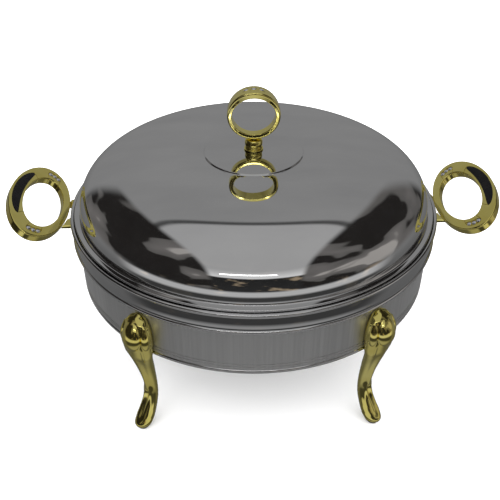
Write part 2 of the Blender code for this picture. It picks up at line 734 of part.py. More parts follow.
def leg_stations():
    """Height, back and front radius, and half width of the leg, from its foot to the top of its knee."""
    back = LEG_BACK_R
    sizes = [
        (2.2, 186.0, 196.5, 6.6),
        (6.5, 182.5, 198.0, 8.4),
        (12, 178.6, 194.6, 8.2),
        (19, 174.6, 189.2, 7.4),
        (27, 171.2, 184.0, 6.6),
        (36, 169.8, 181.0, 6.2),
        (48, 170.2, 180.8, 6.6),
        (60, 171.9, 182.8, 7.7),
        (72, 174.2, 186.0, 9.6),
    ]
    stations = [(z * MM, rear * MM, front * MM, half * MM) for z, rear, front, half in sizes]
    knee = [
        (85, 190.0, 12.2),
        (94, 193.0, 14.2),
        (103, 195.0, 15.3),
        (112, 195.0, 15.2),
        (120, 193.0, 13.6),
        (126, 189.5, 11.0),
        (129.5, 185.5, 8.0),
        (131.5, 181.0, 3.5),
    ]
    return stations + [(z * MM, back, front * MM, half * MM) for z, front, half in knee]


def leg_section(height, back, front, half):
    """A section with a flat back and a round front."""
    arc_points = 9
    waist = back + LEG_WAIST * (front - back)
    points = [(back, LEG_FLAT * half, height)]
    for i in range(arc_points):
        angle = math.pi * (0.5 - i / (arc_points - 1))
        points.append((waist + (front - waist) * math.cos(angle), half * math.sin(angle), height))
    return points + [(back, -LEG_FLAT * half, height)]


def build_leg(name, direction, holes):
    mesh = loft_mesh(f"leg_{name}", [leg_section(*station) for station in leg_stations()], False)
    leg = piece(f"leg_{name}", mesh, "gold", Matrix.Rotation(direction, 4, "Z"))
    for made, owner in holes:
        if owner == name:
            combine(leg, made, "DIFFERENCE")


def build_pad(name, direction):
    profile = [(0, PAD_H), (PAD_R - EDGE, PAD_H), (PAD_R, 0), (0, 0)]
    place = Matrix.Rotation(direction, 4, "Z") @ Matrix.Translation((PAD_CENTRE_R, 0, 0))
    turned(f"pad_{name}", profile, "rubber", SMALL_STEPS, closed=False, matrix=place)


def build_leg_screw(name, place):
    face = LEG_SCREW_HEAD_FACE_R
    head = face - LEG_SCREW_HEAD_H
    profile = [(0, LEG_SCREW_TIP_R), (LEG_SCREW_R, LEG_SCREW_TIP_R), (LEG_SCREW_R, face)]
    profile += [(LEG_SCREW_HEAD_R, face), (LEG_SCREW_HEAD_R, head), (0, head)]
    turned(name, profile, "plain_steel", SMALL_STEPS, closed=False, matrix=place)


def build_stand():
    holes = []
    for name, place, leg in leg_screws():
        hole = cylinder_mesh(f"{name}_hole", LEG_HOLE_R, LEG_SCREW_HEAD_FACE_R, LEG_SCREW_TIP_R + EDGE)
        holes.append((cutter(f"{name}_hole", hole, place), leg))
        build_leg_screw(name, place)
    build_stand_band(holes)
    build_stand_hoop()
    for name, direction in leg_places():
        build_leg(name, direction, holes)
        build_pad(name, direction)


# Burner ------------------------------------------------------------------------------------------


def build_burner_strap():
    """A flat bar bent down in the middle to carry the burner."""
    line = [
        (-STRAP_HALF_LENGTH, STRAP_TOP_Z),
        (-STRAP_DROP_X, STRAP_TOP_Z),
        (-STRAP_SEAT_X, STRAP_SEAT_Z),
        (STRAP_SEAT_X, STRAP_SEAT_Z),
        (STRAP_DROP_X, STRAP_TOP_Z),
        (STRAP_HALF_LENGTH, STRAP_TOP_Z),
    ]
    shape = bmesh.new()
    front = [shape.verts.new((x, -STRAP_HALF_WIDTH, z)) for x, z in line]
    rear = [shape.verts.new((x, STRAP_HALF_WIDTH, z)) for x, z in line]
    for i in range(len(line) - 1):
        shape.faces.new((front[i], front[i + 1], rear[i + 1], rear[i]))
    mesh = bpy.data.meshes.new("burner_strap")
    shape.to_mesh(mesh)
    shape.free()
    strap = piece("burner_strap", mesh, "plain_steel")
    bar = strap.modifiers.new("bar", "SOLIDIFY")
    bar.thickness = STRAP_THICK
    bar.offset = -1
    bar.use_even_offset = True
    for name, x in (("left", -STRAP_BOLT_X), ("middle", 0.0), ("right", STRAP_BOLT_X)):
        hole = cylinder_mesh("strap_hole", STRAP_HOLE_R, STRAP_SEAT_Z / 2, HOOP_TOP_Z)
        combine(strap, cutter(f"strap_hole_{name}", hole, Matrix.Translation((x, 0, 0))), "DIFFERENCE")


def build_burner_bolts():
    under = STRAP_TOP_Z - STRAP_THICK - GAP
    tip = HOOP_TOP_Z - 1.5 * MM
    low = under - STRAP_BOLT_HEAD_H
    profile = [(0, tip), (STRAP_BOLT_R, tip), (STRAP_BOLT_R, under), (STRAP_BOLT_HEAD_R, under)]
    profile += [(STRAP_BOLT_HEAD_R, low), (0, low)]
    for side, x in (("left", -STRAP_BOLT_X), ("right", STRAP_BOLT_X)):
        place = Matrix.Translation((x, 0, 0))
        turned(f"burner_bolt_{side}", profile, "plain_steel", SMALL_STEPS, closed=False, matrix=place)


def build_burner_holder():
    low = STRAP_SEAT_Z + GAP
    profile = [(HOLDER_R, low + HOLDER_H), (HOLDER_R, low + HOLDER_CORNER)]
    profile += [(HOLDER_R - HOLDER_CORNER, low), (STRAP_HOLE_R, low)]
    spun("burner_holder", profile, "plain_steel", HOLDER_SHEET, CAN_STEPS)


def build_holder_rivet():
    """Joins the cup to the strap, with a low head inside the cup."""
    top = STRAP_SEAT_Z + 2 * GAP + HOLDER_SHEET
    high = top + HOLDER_RIVET_HEAD_H
    under = STRAP_SEAT_Z - STRAP_THICK - GAP
    low = under - HOLDER_RIVET_HEAD_H
    profile = [(0, high), (HOLDER_RIVET_HEAD_R, high), (HOLDER_RIVET_HEAD_R, top), (HOLDER_RIVET_R, top)]
    profile += [(HOLDER_RIVET_R, under), (HOLDER_RIVET_HEAD_R, under), (HOLDER_RIVET_HEAD_R, low), (0, low)]
    turned("holder_rivet", profile, "plain_steel", SMALL_STEPS, closed=False)


def build_fuel_can():
    recess = CAN_LOW_Z + CAN_RECESS_H
    profile = [(CAN_R, CAN_TOP_Z), (CAN_R, CAN_LOW_Z + 1 * MM), (CAN_R - 1 * MM, CAN_LOW_Z)]
    profile += [(CAN_RECESS_R + 1 * MM, CAN_LOW_Z), (CAN_RECESS_R, recess), (0, recess)]
    spun("fuel_can", profile, "tin", CAN_SHEET, CAN_STEPS)


def build_wick_plate():
    """The can's top plate with a neck round the flame opening and a hole for the snuffer's pin."""
    low = CAN_TOP_Z + GAP
    high = low + CAN_SHEET
    profile = [(NECK_HOLE_R, high + NECK_H), (NECK_R, high + NECK_H), (NECK_R, high), (PLATE_R, high)]
    profile += [(PLATE_R, low), (NECK_HOLE_R, low)]
    plate = turned("wick_plate", profile, "tin", CAN_STEPS)
    hole = cylinder_mesh("pin_hole", PIN_HOLE_R, low - PIN_FOOT, high + PIN_FOOT)
    combine(plate, cutter("pin_hole", hole, pivot_matrix()), "DIFFERENCE")


def pivot_matrix():
    return Matrix.Translation((0, SNUFFER_PIVOT_Y, 0))


def snuffer_low_z():
    return CAN_TOP_Z + GAP + CAN_SHEET + NECK_H + GAP


def build_snuffer():
    """A round cover with a tail that turns on the pin."""
    tail = SNUFFER_TAIL_R
    tangent = math.acos((SNUFFER_R - tail) / SNUFFER_PIVOT_Y)
    outline = []
    for i in range(CAN_STEPS + 1):
        angle = math.pi / 2 + tangent + (FULL_TURN - 2 * tangent) * i / CAN_STEPS
        outline.append((SNUFFER_R * math.cos(angle), SNUFFER_R * math.sin(angle) - SNUFFER_PIVOT_Y))
    for i in range(TAIL_STEPS + 1):
        angle = math.pi / 2 - tangent + 2 * tangent * i / TAIL_STEPS
        outline.append((tail * math.cos(angle), tail * math.sin(angle)))
    hole = ellipse(PIN_R + GAP, PIN_R + GAP, count=SMALL_STEPS)
    low = snuffer_low_z()
    mesh = plate_mesh("snuffer", [outline, hole], low, low + SNUFFER_THICK)
    piece("snuffer", mesh, "tin", pivot_matrix())


def build_snuffer_pin():
    plate_high = CAN_TOP_Z + GAP + CAN_SHEET
    shoulder_low = plate_high + GAP
    shoulder_high = snuffer_low_z() - GAP
    head_low = snuffer_low_z() + SNUFFER_THICK + GAP
    head_high = head_low + PIN_HEAD_H
    foot = CAN_TOP_Z - PIN_FOOT
    profile = [(0, head_high), (PIN_SHOULDER_R, head_high), (PIN_SHOULDER_R, head_low), (PIN_R, head_low)]
    profile += [(PIN_R, shoulder_high), (PIN_SHOULDER_R, shoulder_high), (PIN_SHOULDER_R, shoulder_low)]
    profile += [(PIN_R, shoulder_low), (PIN_R, foot), (0, foot)]
    turned("snuffer_pin", profile, "plain_steel", SMALL_STEPS, closed=False, matrix=pivot_matrix())


def build_burner():
    build_burner_strap()
    build_burner_bolts()
    build_burner_holder()
    build_holder_rivet()
    build_fuel_can()
    build_wick_plate()
    build_snuffer()
    build_snuffer_pin()


def build_lid():
    build_lid_dome()
    build_knob_base()
    build_knob_stem()
    build_knob_ring()
    build_knob_gems()
    build_knob_screw()
    build_knob_seal()


def main():
    clear_scene()
    build_lid()
    build_food_pan()
    build_water_pan()
    for side in ("left", "right"):
        build_handle(side)
    build_stand()
    build_burner()


main()
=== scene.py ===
"""Looks of a round chafer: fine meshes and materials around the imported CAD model.

Metres, +Z up. The front is -Y and the handles are on +X and -X. Each piece rides on its CAD body.
"""

import json
import math

import bmesh
import bpy
from mathutils import Matrix, Vector


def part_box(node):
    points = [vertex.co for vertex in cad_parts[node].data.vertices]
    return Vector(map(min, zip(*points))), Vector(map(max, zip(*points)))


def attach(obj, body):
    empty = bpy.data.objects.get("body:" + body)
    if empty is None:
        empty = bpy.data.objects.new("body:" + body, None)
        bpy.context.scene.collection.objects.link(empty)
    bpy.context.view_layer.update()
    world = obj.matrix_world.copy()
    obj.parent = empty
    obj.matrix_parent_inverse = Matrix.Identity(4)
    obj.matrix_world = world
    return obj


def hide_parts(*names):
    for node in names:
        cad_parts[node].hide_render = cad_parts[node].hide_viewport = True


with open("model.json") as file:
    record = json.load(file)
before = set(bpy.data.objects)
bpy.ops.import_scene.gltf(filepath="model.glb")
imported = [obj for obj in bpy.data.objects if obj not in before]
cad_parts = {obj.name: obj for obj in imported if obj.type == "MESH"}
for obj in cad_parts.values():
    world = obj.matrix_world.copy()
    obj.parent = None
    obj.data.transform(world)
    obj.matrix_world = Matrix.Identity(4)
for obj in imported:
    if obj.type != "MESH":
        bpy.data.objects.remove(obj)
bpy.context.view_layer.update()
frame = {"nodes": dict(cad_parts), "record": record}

MM = 0.001
SHEET = 1.0 * MM
AXIS = 0.00001
FULL_TURN = 2 * math.pi
STEPS = 192
SMALL_STEPS = 48
CORNER_STEPS = 5
FLAT_SPAN = 0.9 * MM
FLAT_END = 0.2 * MM
FINE_STEPS = SMALL_STEPS * 2
CORNER_REACH = 0.48
HAIR = 0.02 * MM
FINE_EDGE = 0.2 * MM
SMALL_EDGE = 0.3 * MM
TIGHT_EDGE = 0.4 * MM
EDGE = 0.5 * MM
SOFT_EDGE = 0.8 * MM

# Angles in degrees above which an edge stays sharp
SHARP = 35
RING_SHARP = 50
HANDLE_SHARP = 32
ENAMEL_SHARP = 50
BRACKET_SHARP = 40
LEG_SHARP = 60
GEM_SHARP = 8

# Noise in the materials
NOISE_LOW = 0.3
NOISE_HIGH = 0.7
TINT_LOW = 0.32
TINT_HIGH = 0.68
CLOUD_DETAIL = 3.0
GRAIN_DETAIL = 2.0

# Lid
LID_DOME_R = 172 * MM
LID_DOME_Z = 162.8 * MM
LID_CROWN_H = 48.6 * MM
LID_ACROSS_POWER = 5.0
LID_UP_POWER = 2.2
LID_DISC_R = 48 * MM
LID_DISC_CROWN = 1.8 * MM
DISC_POINTS = 12
LID_HOLE_R = 3.4 * MM
LID_CROWN_POINTS = 70
LID_CROWN_CROWDING = 0.8
LID_CROWN_START = 4 * MM
LID_DISC_MARGIN = 2 * MM
LID_STEP_IN = 0.4 * MM
LID_STEP_RISE = 0.05 * MM
LID_STEP_ROUND = 0.35 * MM
LID_STEP_OUT = 0.5 * MM
LID_STEP_SINK = 0.15 * MM
LID_FLANGE_H = 2.2 * MM
LID_FLANGE_START = 1.6 * MM
LID_FLANGE_FALL = 0.3 * MM
LID_HOLLOW_OUT = 0.3 * MM
LID_HOLLOW_H = 0.5 * MM
LID_LIP_ROUND = 0.9 * MM
LID_LIP_H = 0.1 * MM

# Knob
KNOB_RING_SHAPE = 24.8 / 25.4
KNOB_HOLE_RX = 20.7 * MM
KNOB_HOLE_RZ = 19 * MM
KNOB_HOLE_DROP = 0.4 * MM
KNOB_WIDTH_TOP = 18.5 * MM
KNOB_WIDTH_BOTTOM = 9.5 * MM
KNOB_GEM_LEAN = math.radians(17.5)
KNOB_GEM_R = 2.5 * MM
KNOB_GEM_FIT = 0.92
KNOB_GEM_SINK = 0.7 * MM
KNOB_GEM_RISE = 0.2 * MM
KNOB_GEM_H = 0.8 * MM
KNOB_EDGE = 0.7 * MM
KNOB_SHOULDER = 0.5 * MM
KNOB_SHOULDER_ROUND = 1.9 * MM
KNOB_TOP_ROUND = 4 * MM
KNOB_BORE_R = 3.1 * MM
WASHER_TOP_IN = 1.6 * MM
WASHER_STEP_IN = 0.9 * MM
WASHER_STEP_DROP = 0.7 * MM
STEM_NECK_IN = 1.1 * MM
STEM_COLLAR_IN = 0.3 * MM
STEM_GROOVE_TOP = 1.9 * MM
STEM_GROOVE_FOOT = 1.4 * MM
STEM_SHOULDER_IN = 0.2 * MM
STEM_SHOULDER_H = 1.8 * MM
STEM_BARREL_ROUND = 2 * MM
BEZEL_WALL = 0.75 * MM
BEZEL_ROUND = 1.2 * MM
# Size and height of each level of a square setting
BEZEL_LEVELS = [(1.0, -0.6 * MM), (1.0, 0.45 * MM), (0.93, 0.6 * MM), (0.80, 0.6 * MM), (0.74, 0.3 * MM)]

# Crystals: sizes and levels are shares of the crystal's radius and height
CRYSTAL_INDEX = 1
SEAT_INDEX = 2
# Size, level, number of points and shift of each ring of points, in steps
CRYSTAL_RINGS = [(0.86, 0.0, 16, 0), (1.0, 0.32, 16, 0), (0.80, 0.68, 8, 0.5), (0.56, 1.0, 8, 0)]
SEAT_SIZE = 1.24
SEAT_LEVEL = 0.25
SEAT_ROUND = 0.1 * MM
SETTING_STEPS = 24
SETTING_SIZE = 1.34
SETTING_LEVEL = 0.22
SETTING_WIRE = 0.32 * MM
SETTING_POINTS = 10
CLAWS = 4
CLAW_STEPS = 10
CLAW_PROFILE = [(0, 0.62), (0.28 * MM, 0.52), (0.36 * MM, 0.3), (0.36 * MM, 0), (0, 0)]

# Pans
FOOD_WALL_TOP_R = 167.6 * MM
FOOD_WALL_LOW_R = 160 * MM
FOOD_CORNER_R = 8 * MM
WATER_RIM_ROLL = 2 * MM
WATER_BAND_R = 180.6 * MM
WATER_LEDGE_Z = 156.6 * MM
WATER_WALL_TOP_R = 169.5 * MM
WATER_WALL_LOW_R = 165.5 * MM
WATER_CORNER_R = 7 * MM
BEAD_Z = 138.7 * MM
BEAD_ROLL = 2.2 * MM
BARREL = 0.35 * MM
BARREL_POINTS = 10
FOOD_RIM_IN = 0.4 * MM
FOOD_LIP_H = 0.7 * MM
FOOD_RIM_START = 1.6 * MM
FOOD_RIM_ROUND = 2.4 * MM
FOOD_NECK_IN = 1.2 * MM
FOOD_NECK_H = 4 * MM
FOOD_NECK_ROUND = 2 * MM
WATER_RIM_H = 5 * MM
WATER_RIM_TURN = (165, -40)
WATER_LEDGE_ROUND = 1.6 * MM
WATER_LEDGE_IN = 4.4 * MM
BAND_NECK_IN = 0.1 * MM
BAND_NECK_H = 0.8 * MM
BAND_EDGE_IN = 0.2 * MM
BEAD_H = 3.2 * MM
BEAD_IN = 1.0 * MM
BEAD_TURN = (62, -100)
ROLL_POINTS = 12

# Handle rings, in their own flat frame: X outward, Y along the ring, Z through its thickness
RING_TILT = math.radians(35.7)
RING_HALF_OUT = 30.7 * MM
RING_HALF_LONG = 60.6 * MM
RING_HOLE_OUT = 19.8 * MM
RING_HOLE_LONG = 42 * MM
RING_HOLE_SHIFT = -3.2 * MM
RING_HALF_THICK = 4 * MM
RING_ROUND = 1.5 * MM
RING_STEPS = 160
POCKET_DEPTH = 1.0 * MM
POCKET_END_POWER = 4
POCKET_LEAST = 0.3 * MM
POCKET_SLOPE = 0.25 * MM
INLAY_STEPS = 60
INLAY_POINTS = 4
INLAY_MARGIN = 0.004
INLAY_GAP = 0.05 * MM
INLAY_LEAST = 0.1 * MM
INLAY_SINK = 0.2 * MM
ENAMEL_TAPER = 0.20
ENAMEL_FILL = 0.75
ENAMEL_RISE = 0.35 * MM
ENAMEL_END = 47
ENAMEL_HALF_WIDTH = 4.6 * MM
GEM_POCKET_START = 79
GEM_POCKET_END = 113
GEM_POCKET_HALF_WIDTH = 3.5 * MM
GEM_FLOOR_FILL = 0.15
GEM_SINK = 0.75
GEM_FIRST = 0.62
GEM_MARGIN = 0.24
GEM_R = 2.3 * MM
GEM_H = 1.1 * MM
GEMS = 3

# Brackets
BRACKET_HALF_SPAN = 24.5 * MM
BRACKET_PRONG = 11 * MM
BRACKET_BASE_X = 184.8 * MM
BRACKET_CORNER = 5 * MM
BRACKET_ROUND = 0.9 * MM
BRACKET_WALL_GAP = 0.4 * MM
BRACKET_SPARE = 4 * MM
BRACKET_POINTS = 16
BRACKET_BEVEL_STEPS = 3
RING_ROOM = 0.4 * MM
ROOM_STEPS = 96

# Stand
BAND_WALL = 1.2 * MM
GROOVE_Z = 97.2 * MM
GROOVE_EDGE = 0.1 * MM
BAND_GROOVES = (1.6 * MM, -1.4 * MM)
# Depth and height of each corner of a groove
GROOVE_PROFILE = [(0, 1.0 * MM), (0.8 * MM, 0.9 * MM), (0.8 * MM, -0.3 * MM), (0, -0.5 * MM)]
HOOP_ROLL = 2.5 * MM
HOOP_GAP = 0.3 * MM
HOOP_LIP = 1.6 * MM
HOOP_TURN = (80, -90)
HOOP_POINTS = 14
HOOP_SHELF_R = 170 * MM
HOOP_ROUND = 1 * MM
LEG_ANGLE = math.radians(35.5)
LEG_AROUND = 72
LEG_ALONG = 230
LEG_BACK = 177.35
LEG_FLAT = 0.82
LEG_WAIST = 0.3
LEG_BACK_POINTS = (0.6, 0.9)
LEG_BACK_CORNER = 0.4
LEG_START = 1.2
# Height, shrinking and lift of the rings under the foot, and shrinking and lift of those over the tip
LEG_SOLE = [(0, 0.5, 0), (0, 0.22, 0.05), (0.5, 0.06, 0)]
LEG_TIP = [(0.3, 0.7), (0.7, 1.1)]
# Height, back radius, front radius and half width of the leg in mm, from its foot to its tip
LEG_STATIONS = [
    (2.2, 186.0, 196.5, 6.6),
    (6.5, 182.5, 198.0, 8.4),
    (12, 178.6, 194.6, 8.2),
    (19, 174.6, 189.2, 7.4),
    (27, 171.2, 184.0, 6.6),
    (36, 169.8, 181.0, 6.2),
    (48, 170.2, 180.8, 6.6),
    (60, 171.9, 182.8, 7.7),
    (72, 174.2, 186.0, 9.6),
    (85, LEG_BACK, 190.0, 12.2),
    (94, LEG_BACK, 193.0, 14.2),
    (103, LEG_BACK, 195.0, 15.3),
    (112, LEG_BACK, 195.0, 15.2),
    (120, LEG_BACK, 193.0, 13.6),
    (126, LEG_BACK, 189.5, 11.0),
    (129.5, LEG_BACK, 185.5, 8.0),
    (131.5, LEG_BACK, 181.0, 3.5),
]
# Middle and half width of each petal on the knee, in degrees round it, and its foot, top and depth in mm
PETALS = [(0, 45, 101.0, 128.5, 3.0), (64, 19, 102.0, 126.0, 2.4)]
PETAL_POWER = 0.55
PETAL_VALLEY = 0.8
# Foot, top and soft end of the knee in mm
KNEE = (88, 131, 12)
HOOD_FOOT = 124
HOOD_RISE = 5
HOOD_POWER = 1.4
HOOD_DEPTH = 0.8
HOOD_WIDTH = 2.0
# Middle and width in degrees, depth, foot, top and soft end in mm: two ridges, a hollow beside the second,
# then the groove and the rim of the foot
LEG_FOLDS = [
    (45, 5, 0.9, 84, 111, 12),
    (0, 15, 0.9, 40, 95, 12),
    (34, 14, -0.5, 40, 93, 14),
    (0, 17, -1.7, 8.5, 42, 6),
    (40, 15, 0.8, 7, 46, 8),
]
PAD_TOP_IN = 0.7 * MM
PAD_WIDEST_Z = 0.9 * MM
PAD_SOLE_IN = 0.2 * MM
PAD_SOLE = 1.6 * MM
PAD_HOLLOW = 2.0 * MM
PAD_HOLLOW_H = 0.5 * MM

# Burner
HOLDER_WALL = 0.8 * MM
HOLDER_FOOT_H = 1.5 * MM
HOLDER_FOOT_IN = 2 * MM
HOLDER_ROUND = 1.6 * MM
HOLDER_HOLE_R = 3 * MM
CAN_WALL = 0.6 * MM
CAN_SEAM = 0.6 * MM
CAN_SEAM_FALL = 0.3 * MM
CAN_SEAM_H = 2 * MM
CAN_NECK_H = 2.8 * MM
CAN_ROUND = 0.6 * MM
CAN_FOOT_H = 2.2 * MM
CAN_FOOT_ROUND = 0.9 * MM
CAN_FOOT_IN = 4.5 * MM
CAN_FLOOR_IN = 5.5 * MM
CAN_FLOOR_H = 3 * MM
FLAME_HOLE_R = 17 * MM
FLAME_NECK_R = 18.5 * MM
PLATE_H = 0.8 * MM
PLATE_RIM_H = 1.4 * MM
PLATE_RIM_IN = 2 * MM
PLATE_FACE_IN = 3 * MM


# Materials ----------------------------


def node(tree, kind, **settings):
    made = tree.nodes.new(kind)
    for key, value in settings.items():
        setattr(made, key, value)
    return made


def noise(tree, direction, **settings):
    made = node(tree, "ShaderNodeTexNoise")
    for key, value in settings.items():
        made.inputs[key].default_value = value
    tree.links.new(direction, made.inputs["Vector"])
    return made.outputs["Fac"]


def pattern(tree, stretch, detail=CLOUD_DETAIL):
    """Noise in the object's own space, stretched along each axis."""
    place = node(tree, "ShaderNodeTexCoord")
    mapping = node(tree, "ShaderNodeMapping")
    mapping.inputs["Scale"].default_value = stretch
    tree.links.new(place.outputs["Object"], mapping.inputs["Vector"])
    return noise(tree, mapping.outputs["Vector"], Scale=1.0, Detail=detail)


def ranged(tree, source, start, end, low=0.0, high=1.0, kind="LINEAR"):
    """Turns the range from start to end into the range from low to high."""
    made = node(tree, "ShaderNodeMapRange", interpolation_type=kind)
    for key, value in {"From Min": start, "From Max": end, "To Min": low, "To Max": high}.items():
        made.inputs[key].default_value = value
    tree.links.new(source, made.inputs["Value"])
    return made.outputs["Result"]


def spread(tree, source, low, high):
    """Turns noise, which stays near its middle, into a range of values."""
    return ranged(tree, source, NOISE_LOW, NOISE_HIGH, low, high)


def colour_ramp(tree, source, stops):
    """Colours at positions from 0 to 1 along a value."""
    made = node(tree, "ShaderNodeValToRGB")
    for stop, (position, colour) in zip(made.color_ramp.elements, stops[:2]):
        stop.position = position
        stop.color = (*colour, 1)
    for position, colour in stops[2:]:
        made.color_ramp.elements.new(position).color = (*colour, 1)
    tree.links.new(source, made.inputs["Fac"])
    return made.outputs["Color"]


def tint(tree, source, dark, light):
    return colour_ramp(tree, source, [(TINT_LOW, dark), (TINT_HIGH, light)])


def bump(tree, shader, source, strength, distance):
    made = node(tree, "ShaderNodeBump")
    made.inputs["Strength"].default_value = strength
    made.inputs["Distance"].default_value = distance
    tree.links.new(source, made.inputs["Height"])
    tree.links.new(made.outputs["Normal"], shader.inputs["Normal"])


def clouded(name, dark, light, stretch):
    """A material whose colour varies in clouds, with its shader and the clouds."""
    made = bpy.data.materials.new(name)
    made.use_nodes = True
    tree = made.node_tree
    shader = tree.nodes["Principled BSDF"]
    clouds = pattern(tree, stretch)
    tree.links.new(tint(tree, clouds, dark, light), shader.inputs["Base Color"])
    return made, shader, clouds


def metal(name, dark, light, rough, colour_stretch, grain_stretch, grain, depth):
    """A metal whose roughness varies too, with a fine grain."""
    made, shader = clouded(name, dark, light, colour_stretch)[:2]
    tree = made.node_tree
    shader.inputs["Metallic"].default_value = 1.0
    lines = pattern(tree, grain_stretch, GRAIN_DETAIL)
    tree.links.new(spread(tree, lines, rough[0], rough[1]), shader.inputs["Roughness"])
    bump(tree, shader, lines, grain, depth)
    return made


def plain(name, dark, light, rough, stretch, grain, depth, specular=0.5):
    """A material that isn't metal, whose clouds also give its roughness and grain."""
    made, shader, clouds = clouded(name, dark, light, stretch)
    tree = made.node_tree
    tree.links.new(spread(tree, clouds, rough[0], rough[1]), shader.inputs["Roughness"])
    shader.inputs["Specular IOR Level"].default_value = specular
    bump(tree, shader, clouds, grain, depth)
    return made


POLISHED = metal("polished_steel", (0.66, 0.66, 0.665), (0.74, 0.74, 0.74), rough=(0.02, 0.06),
                 colour_stretch=(9, 22, 9), grain_stretch=(60, 60, 60), grain=0.0, depth=0.0002)
BRUSHED = metal("brushed_steel", (0.60, 0.60, 0.60), (0.66, 0.66, 0.66), rough=(0.36, 0.44),
                colour_stretch=(420, 420, 3), grain_stretch=(900, 900, 5), grain=0.05, depth=0.0003)
GOLD = metal("gold_plate", (0.86, 0.74, 0.20), (0.95, 0.85, 0.30), rough=(0.03, 0.08),
             colour_stretch=(30, 30, 30), grain_stretch=(110, 110, 110), grain=0.015, depth=0.0004)
PLAIN = metal("plain_steel", (0.42, 0.42, 0.43), (0.54, 0.54, 0.55), rough=(0.22, 0.34),
              colour_stretch=(80, 80, 80), grain_stretch=(600, 600, 600), grain=0.08, depth=0.0002)
TIN = metal("tinplate", (0.50, 0.50, 0.52), (0.62, 0.62, 0.63), rough=(0.26, 0.42),
            colour_stretch=(60, 60, 60), grain_stretch=(300, 300, 300), grain=0.06, depth=0.0002)
ENAMEL = plain("black_enamel", (0.0015, 0.0015, 0.0018), (0.0035, 0.0033, 0.0035), rough=(0.20, 0.32),
               stretch=(120, 120, 120), grain=0.02, depth=0.0002, specular=0.15)
RUBBER = plain("black_rubber", (0.020, 0.020, 0.020), (0.045, 0.045, 0.044), rough=(0.6, 0.85),
               stretch=(500, 500, 500), grain=0.25, depth=0.0003)
CRYSTAL = metal("crystal", (0.80, 0.80, 0.84), (0.97, 0.97, 1.0), rough=(0.01, 0.05),
                colour_stretch=(400, 400, 400), grain_stretch=(300, 300, 300), grain=0.0, depth=0.0001)


# Shapes -------------------------------


def rounded(corners, closed=False):
    """Points through corners given as (x, y, rounding), each corner turned into a short curve."""
    count = len(corners)
    points = []
    for i, (x, y, size) in enumerate(corners):
        here = Vector((x, y))
        at_end = not closed and i in (0, count - 1)
        if size == 0 or at_end:
            points.append((x, y))
            continue
        before = Vector(corners[i - 1][:2]) - here
        after = Vector(corners[(i + 1) % count][:2]) - here
        start = here + before.normalized() * min(size, before.length * CORNER_REACH)
        end = here + after.normalized() * min(size, after.length * CORNER_REACH)
        for j in range(CORNER_STEPS + 1):
            t = j / CORNER_STEPS
            point = start * (1 - t) ** 2 + here * 2 * t * (1 - t) + end * t ** 2
            points.append(tuple(point))
    return with_flat_ends(points, closed)


def with_flat_ends(points, closed):
    """Adds a point close to each end of every long straight stretch, so its shading stays flat."""
    count = len(points)
    made = []
    for i, point in enumerate(points):
        made.append(point)
        if i == count - 1 and not closed:
            break
        here, following = Vector(point), Vector(points[(i + 1) % count])
        span = (following - here).length
        if span > FLAT_SPAN:
            ends = (FLAT_END / span, 1 - FLAT_END / span)
            made += [tuple(here.lerp(following, share)) for share in ends]
    return made


def arc(centre_r, centre_z, radius, start, end, count):
    """Points of a round stretch, from one angle in degrees to another."""
    points = []
    for i in range(count + 1):
        angle = math.radians(start + (end - start) * i / count)
        points.append((centre_r + radius * math.cos(angle), centre_z + radius * math.sin(angle)))
    return points


def sheet_profile(points, thickness):
    """Closes an open line into a sheet: the thickness lies to the right of the line's direction."""
    line = [Vector(point) for point in points]
    inner = []
    for i, point in enumerate(line):
        first = line[max(i - 1, 0)]
        last = line[min(i + 1, len(line) - 1)]
        along = (last - first).normalized()
        inner.append(tuple(point + Vector((along.y, -along.x)) * thickness))
    return list(points) + inner[::-1]


def finished_mesh(name, shape, sharp=SHARP):
    """Turns a bmesh into a mesh with outward faces, smooth apart from its sharp edges."""
    bmesh.ops.recalc_face_normals(shape, faces=shape.faces)
    mesh = bpy.data.meshes.new(name)
    shape.to_mesh(mesh)
    shape.free()
    mesh.shade_smooth()
    mesh.set_sharp_from_angle(angle=math.radians(sharp))
    return mesh


def bridge(shape, first, second, material_index=0):
    """Faces between two rings, either of which may be a single point."""
    count = max(len(first), len(second))
    for i in range(count):
        k = (i + 1) % count
        corners = [first[i % len(first)], first[k % len(first)]]
        corners += [second[k % len(second)], second[i % len(second)]]
        unique = [corner for j, corner in enumerate(corners) if corner not in corners[:j]]
        if len(unique) > 2:
            shape.faces.new(unique).material_index = material_index


def add_turned(shape, profile, steps, matrix=Matrix.Identity(4), material_index=0):
    """Turns a profile about Z. It closes on itself unless it starts and ends on the axis."""
    rings = []
    for radius, height in profile:
        if radius < AXIS:
            rings.append([shape.verts.new(matrix @ Vector((0, 0, height)))])
            continue
        ring = []
        for i in range(steps):
            angle = FULL_TURN * i / steps
            spot = Vector((radius * math.cos(angle), radius * math.sin(angle), height))
            ring.append(shape.verts.new(matrix @ spot))
        rings.append(ring)
    for first, second in zip(rings, rings[1:]):
        bridge(shape, first, second, material_index)
    if len(rings[0]) > 1:
        bridge(shape, rings[-1], rings[0], material_index)


def turned_mesh(name, profile, steps=STEPS, matrix=Matrix.Identity(4)):
    shape = bmesh.new()
    add_turned(shape, profile, steps, matrix)
    return finished_mesh(name, shape)


def add_loft(shape, rings, closed):
    """Skin over a row of rings, which is either closed on itself or capped at both ends."""
    made = [[shape.verts.new(point) for point in ring] for ring in rings]
    for first, second in zip(made, made[1:]):
        bridge(shape, first, second)
    if closed:
        bridge(shape, made[-1], made[0])
        return
    for ring in (made[0], made[-1]):
        shape.faces.new(ring)


def show(name, mesh, body, slot, materials, *nodes):
    """Puts a finished mesh in the scene in place of the CAD nodes that it stands for."""
    made = bpy.data.objects.new(name, mesh)
    bpy.context.scene.collection.objects.link(made)
    for item in materials:
        mesh.materials.append(item)
    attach(made, body)
    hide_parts(*nodes)


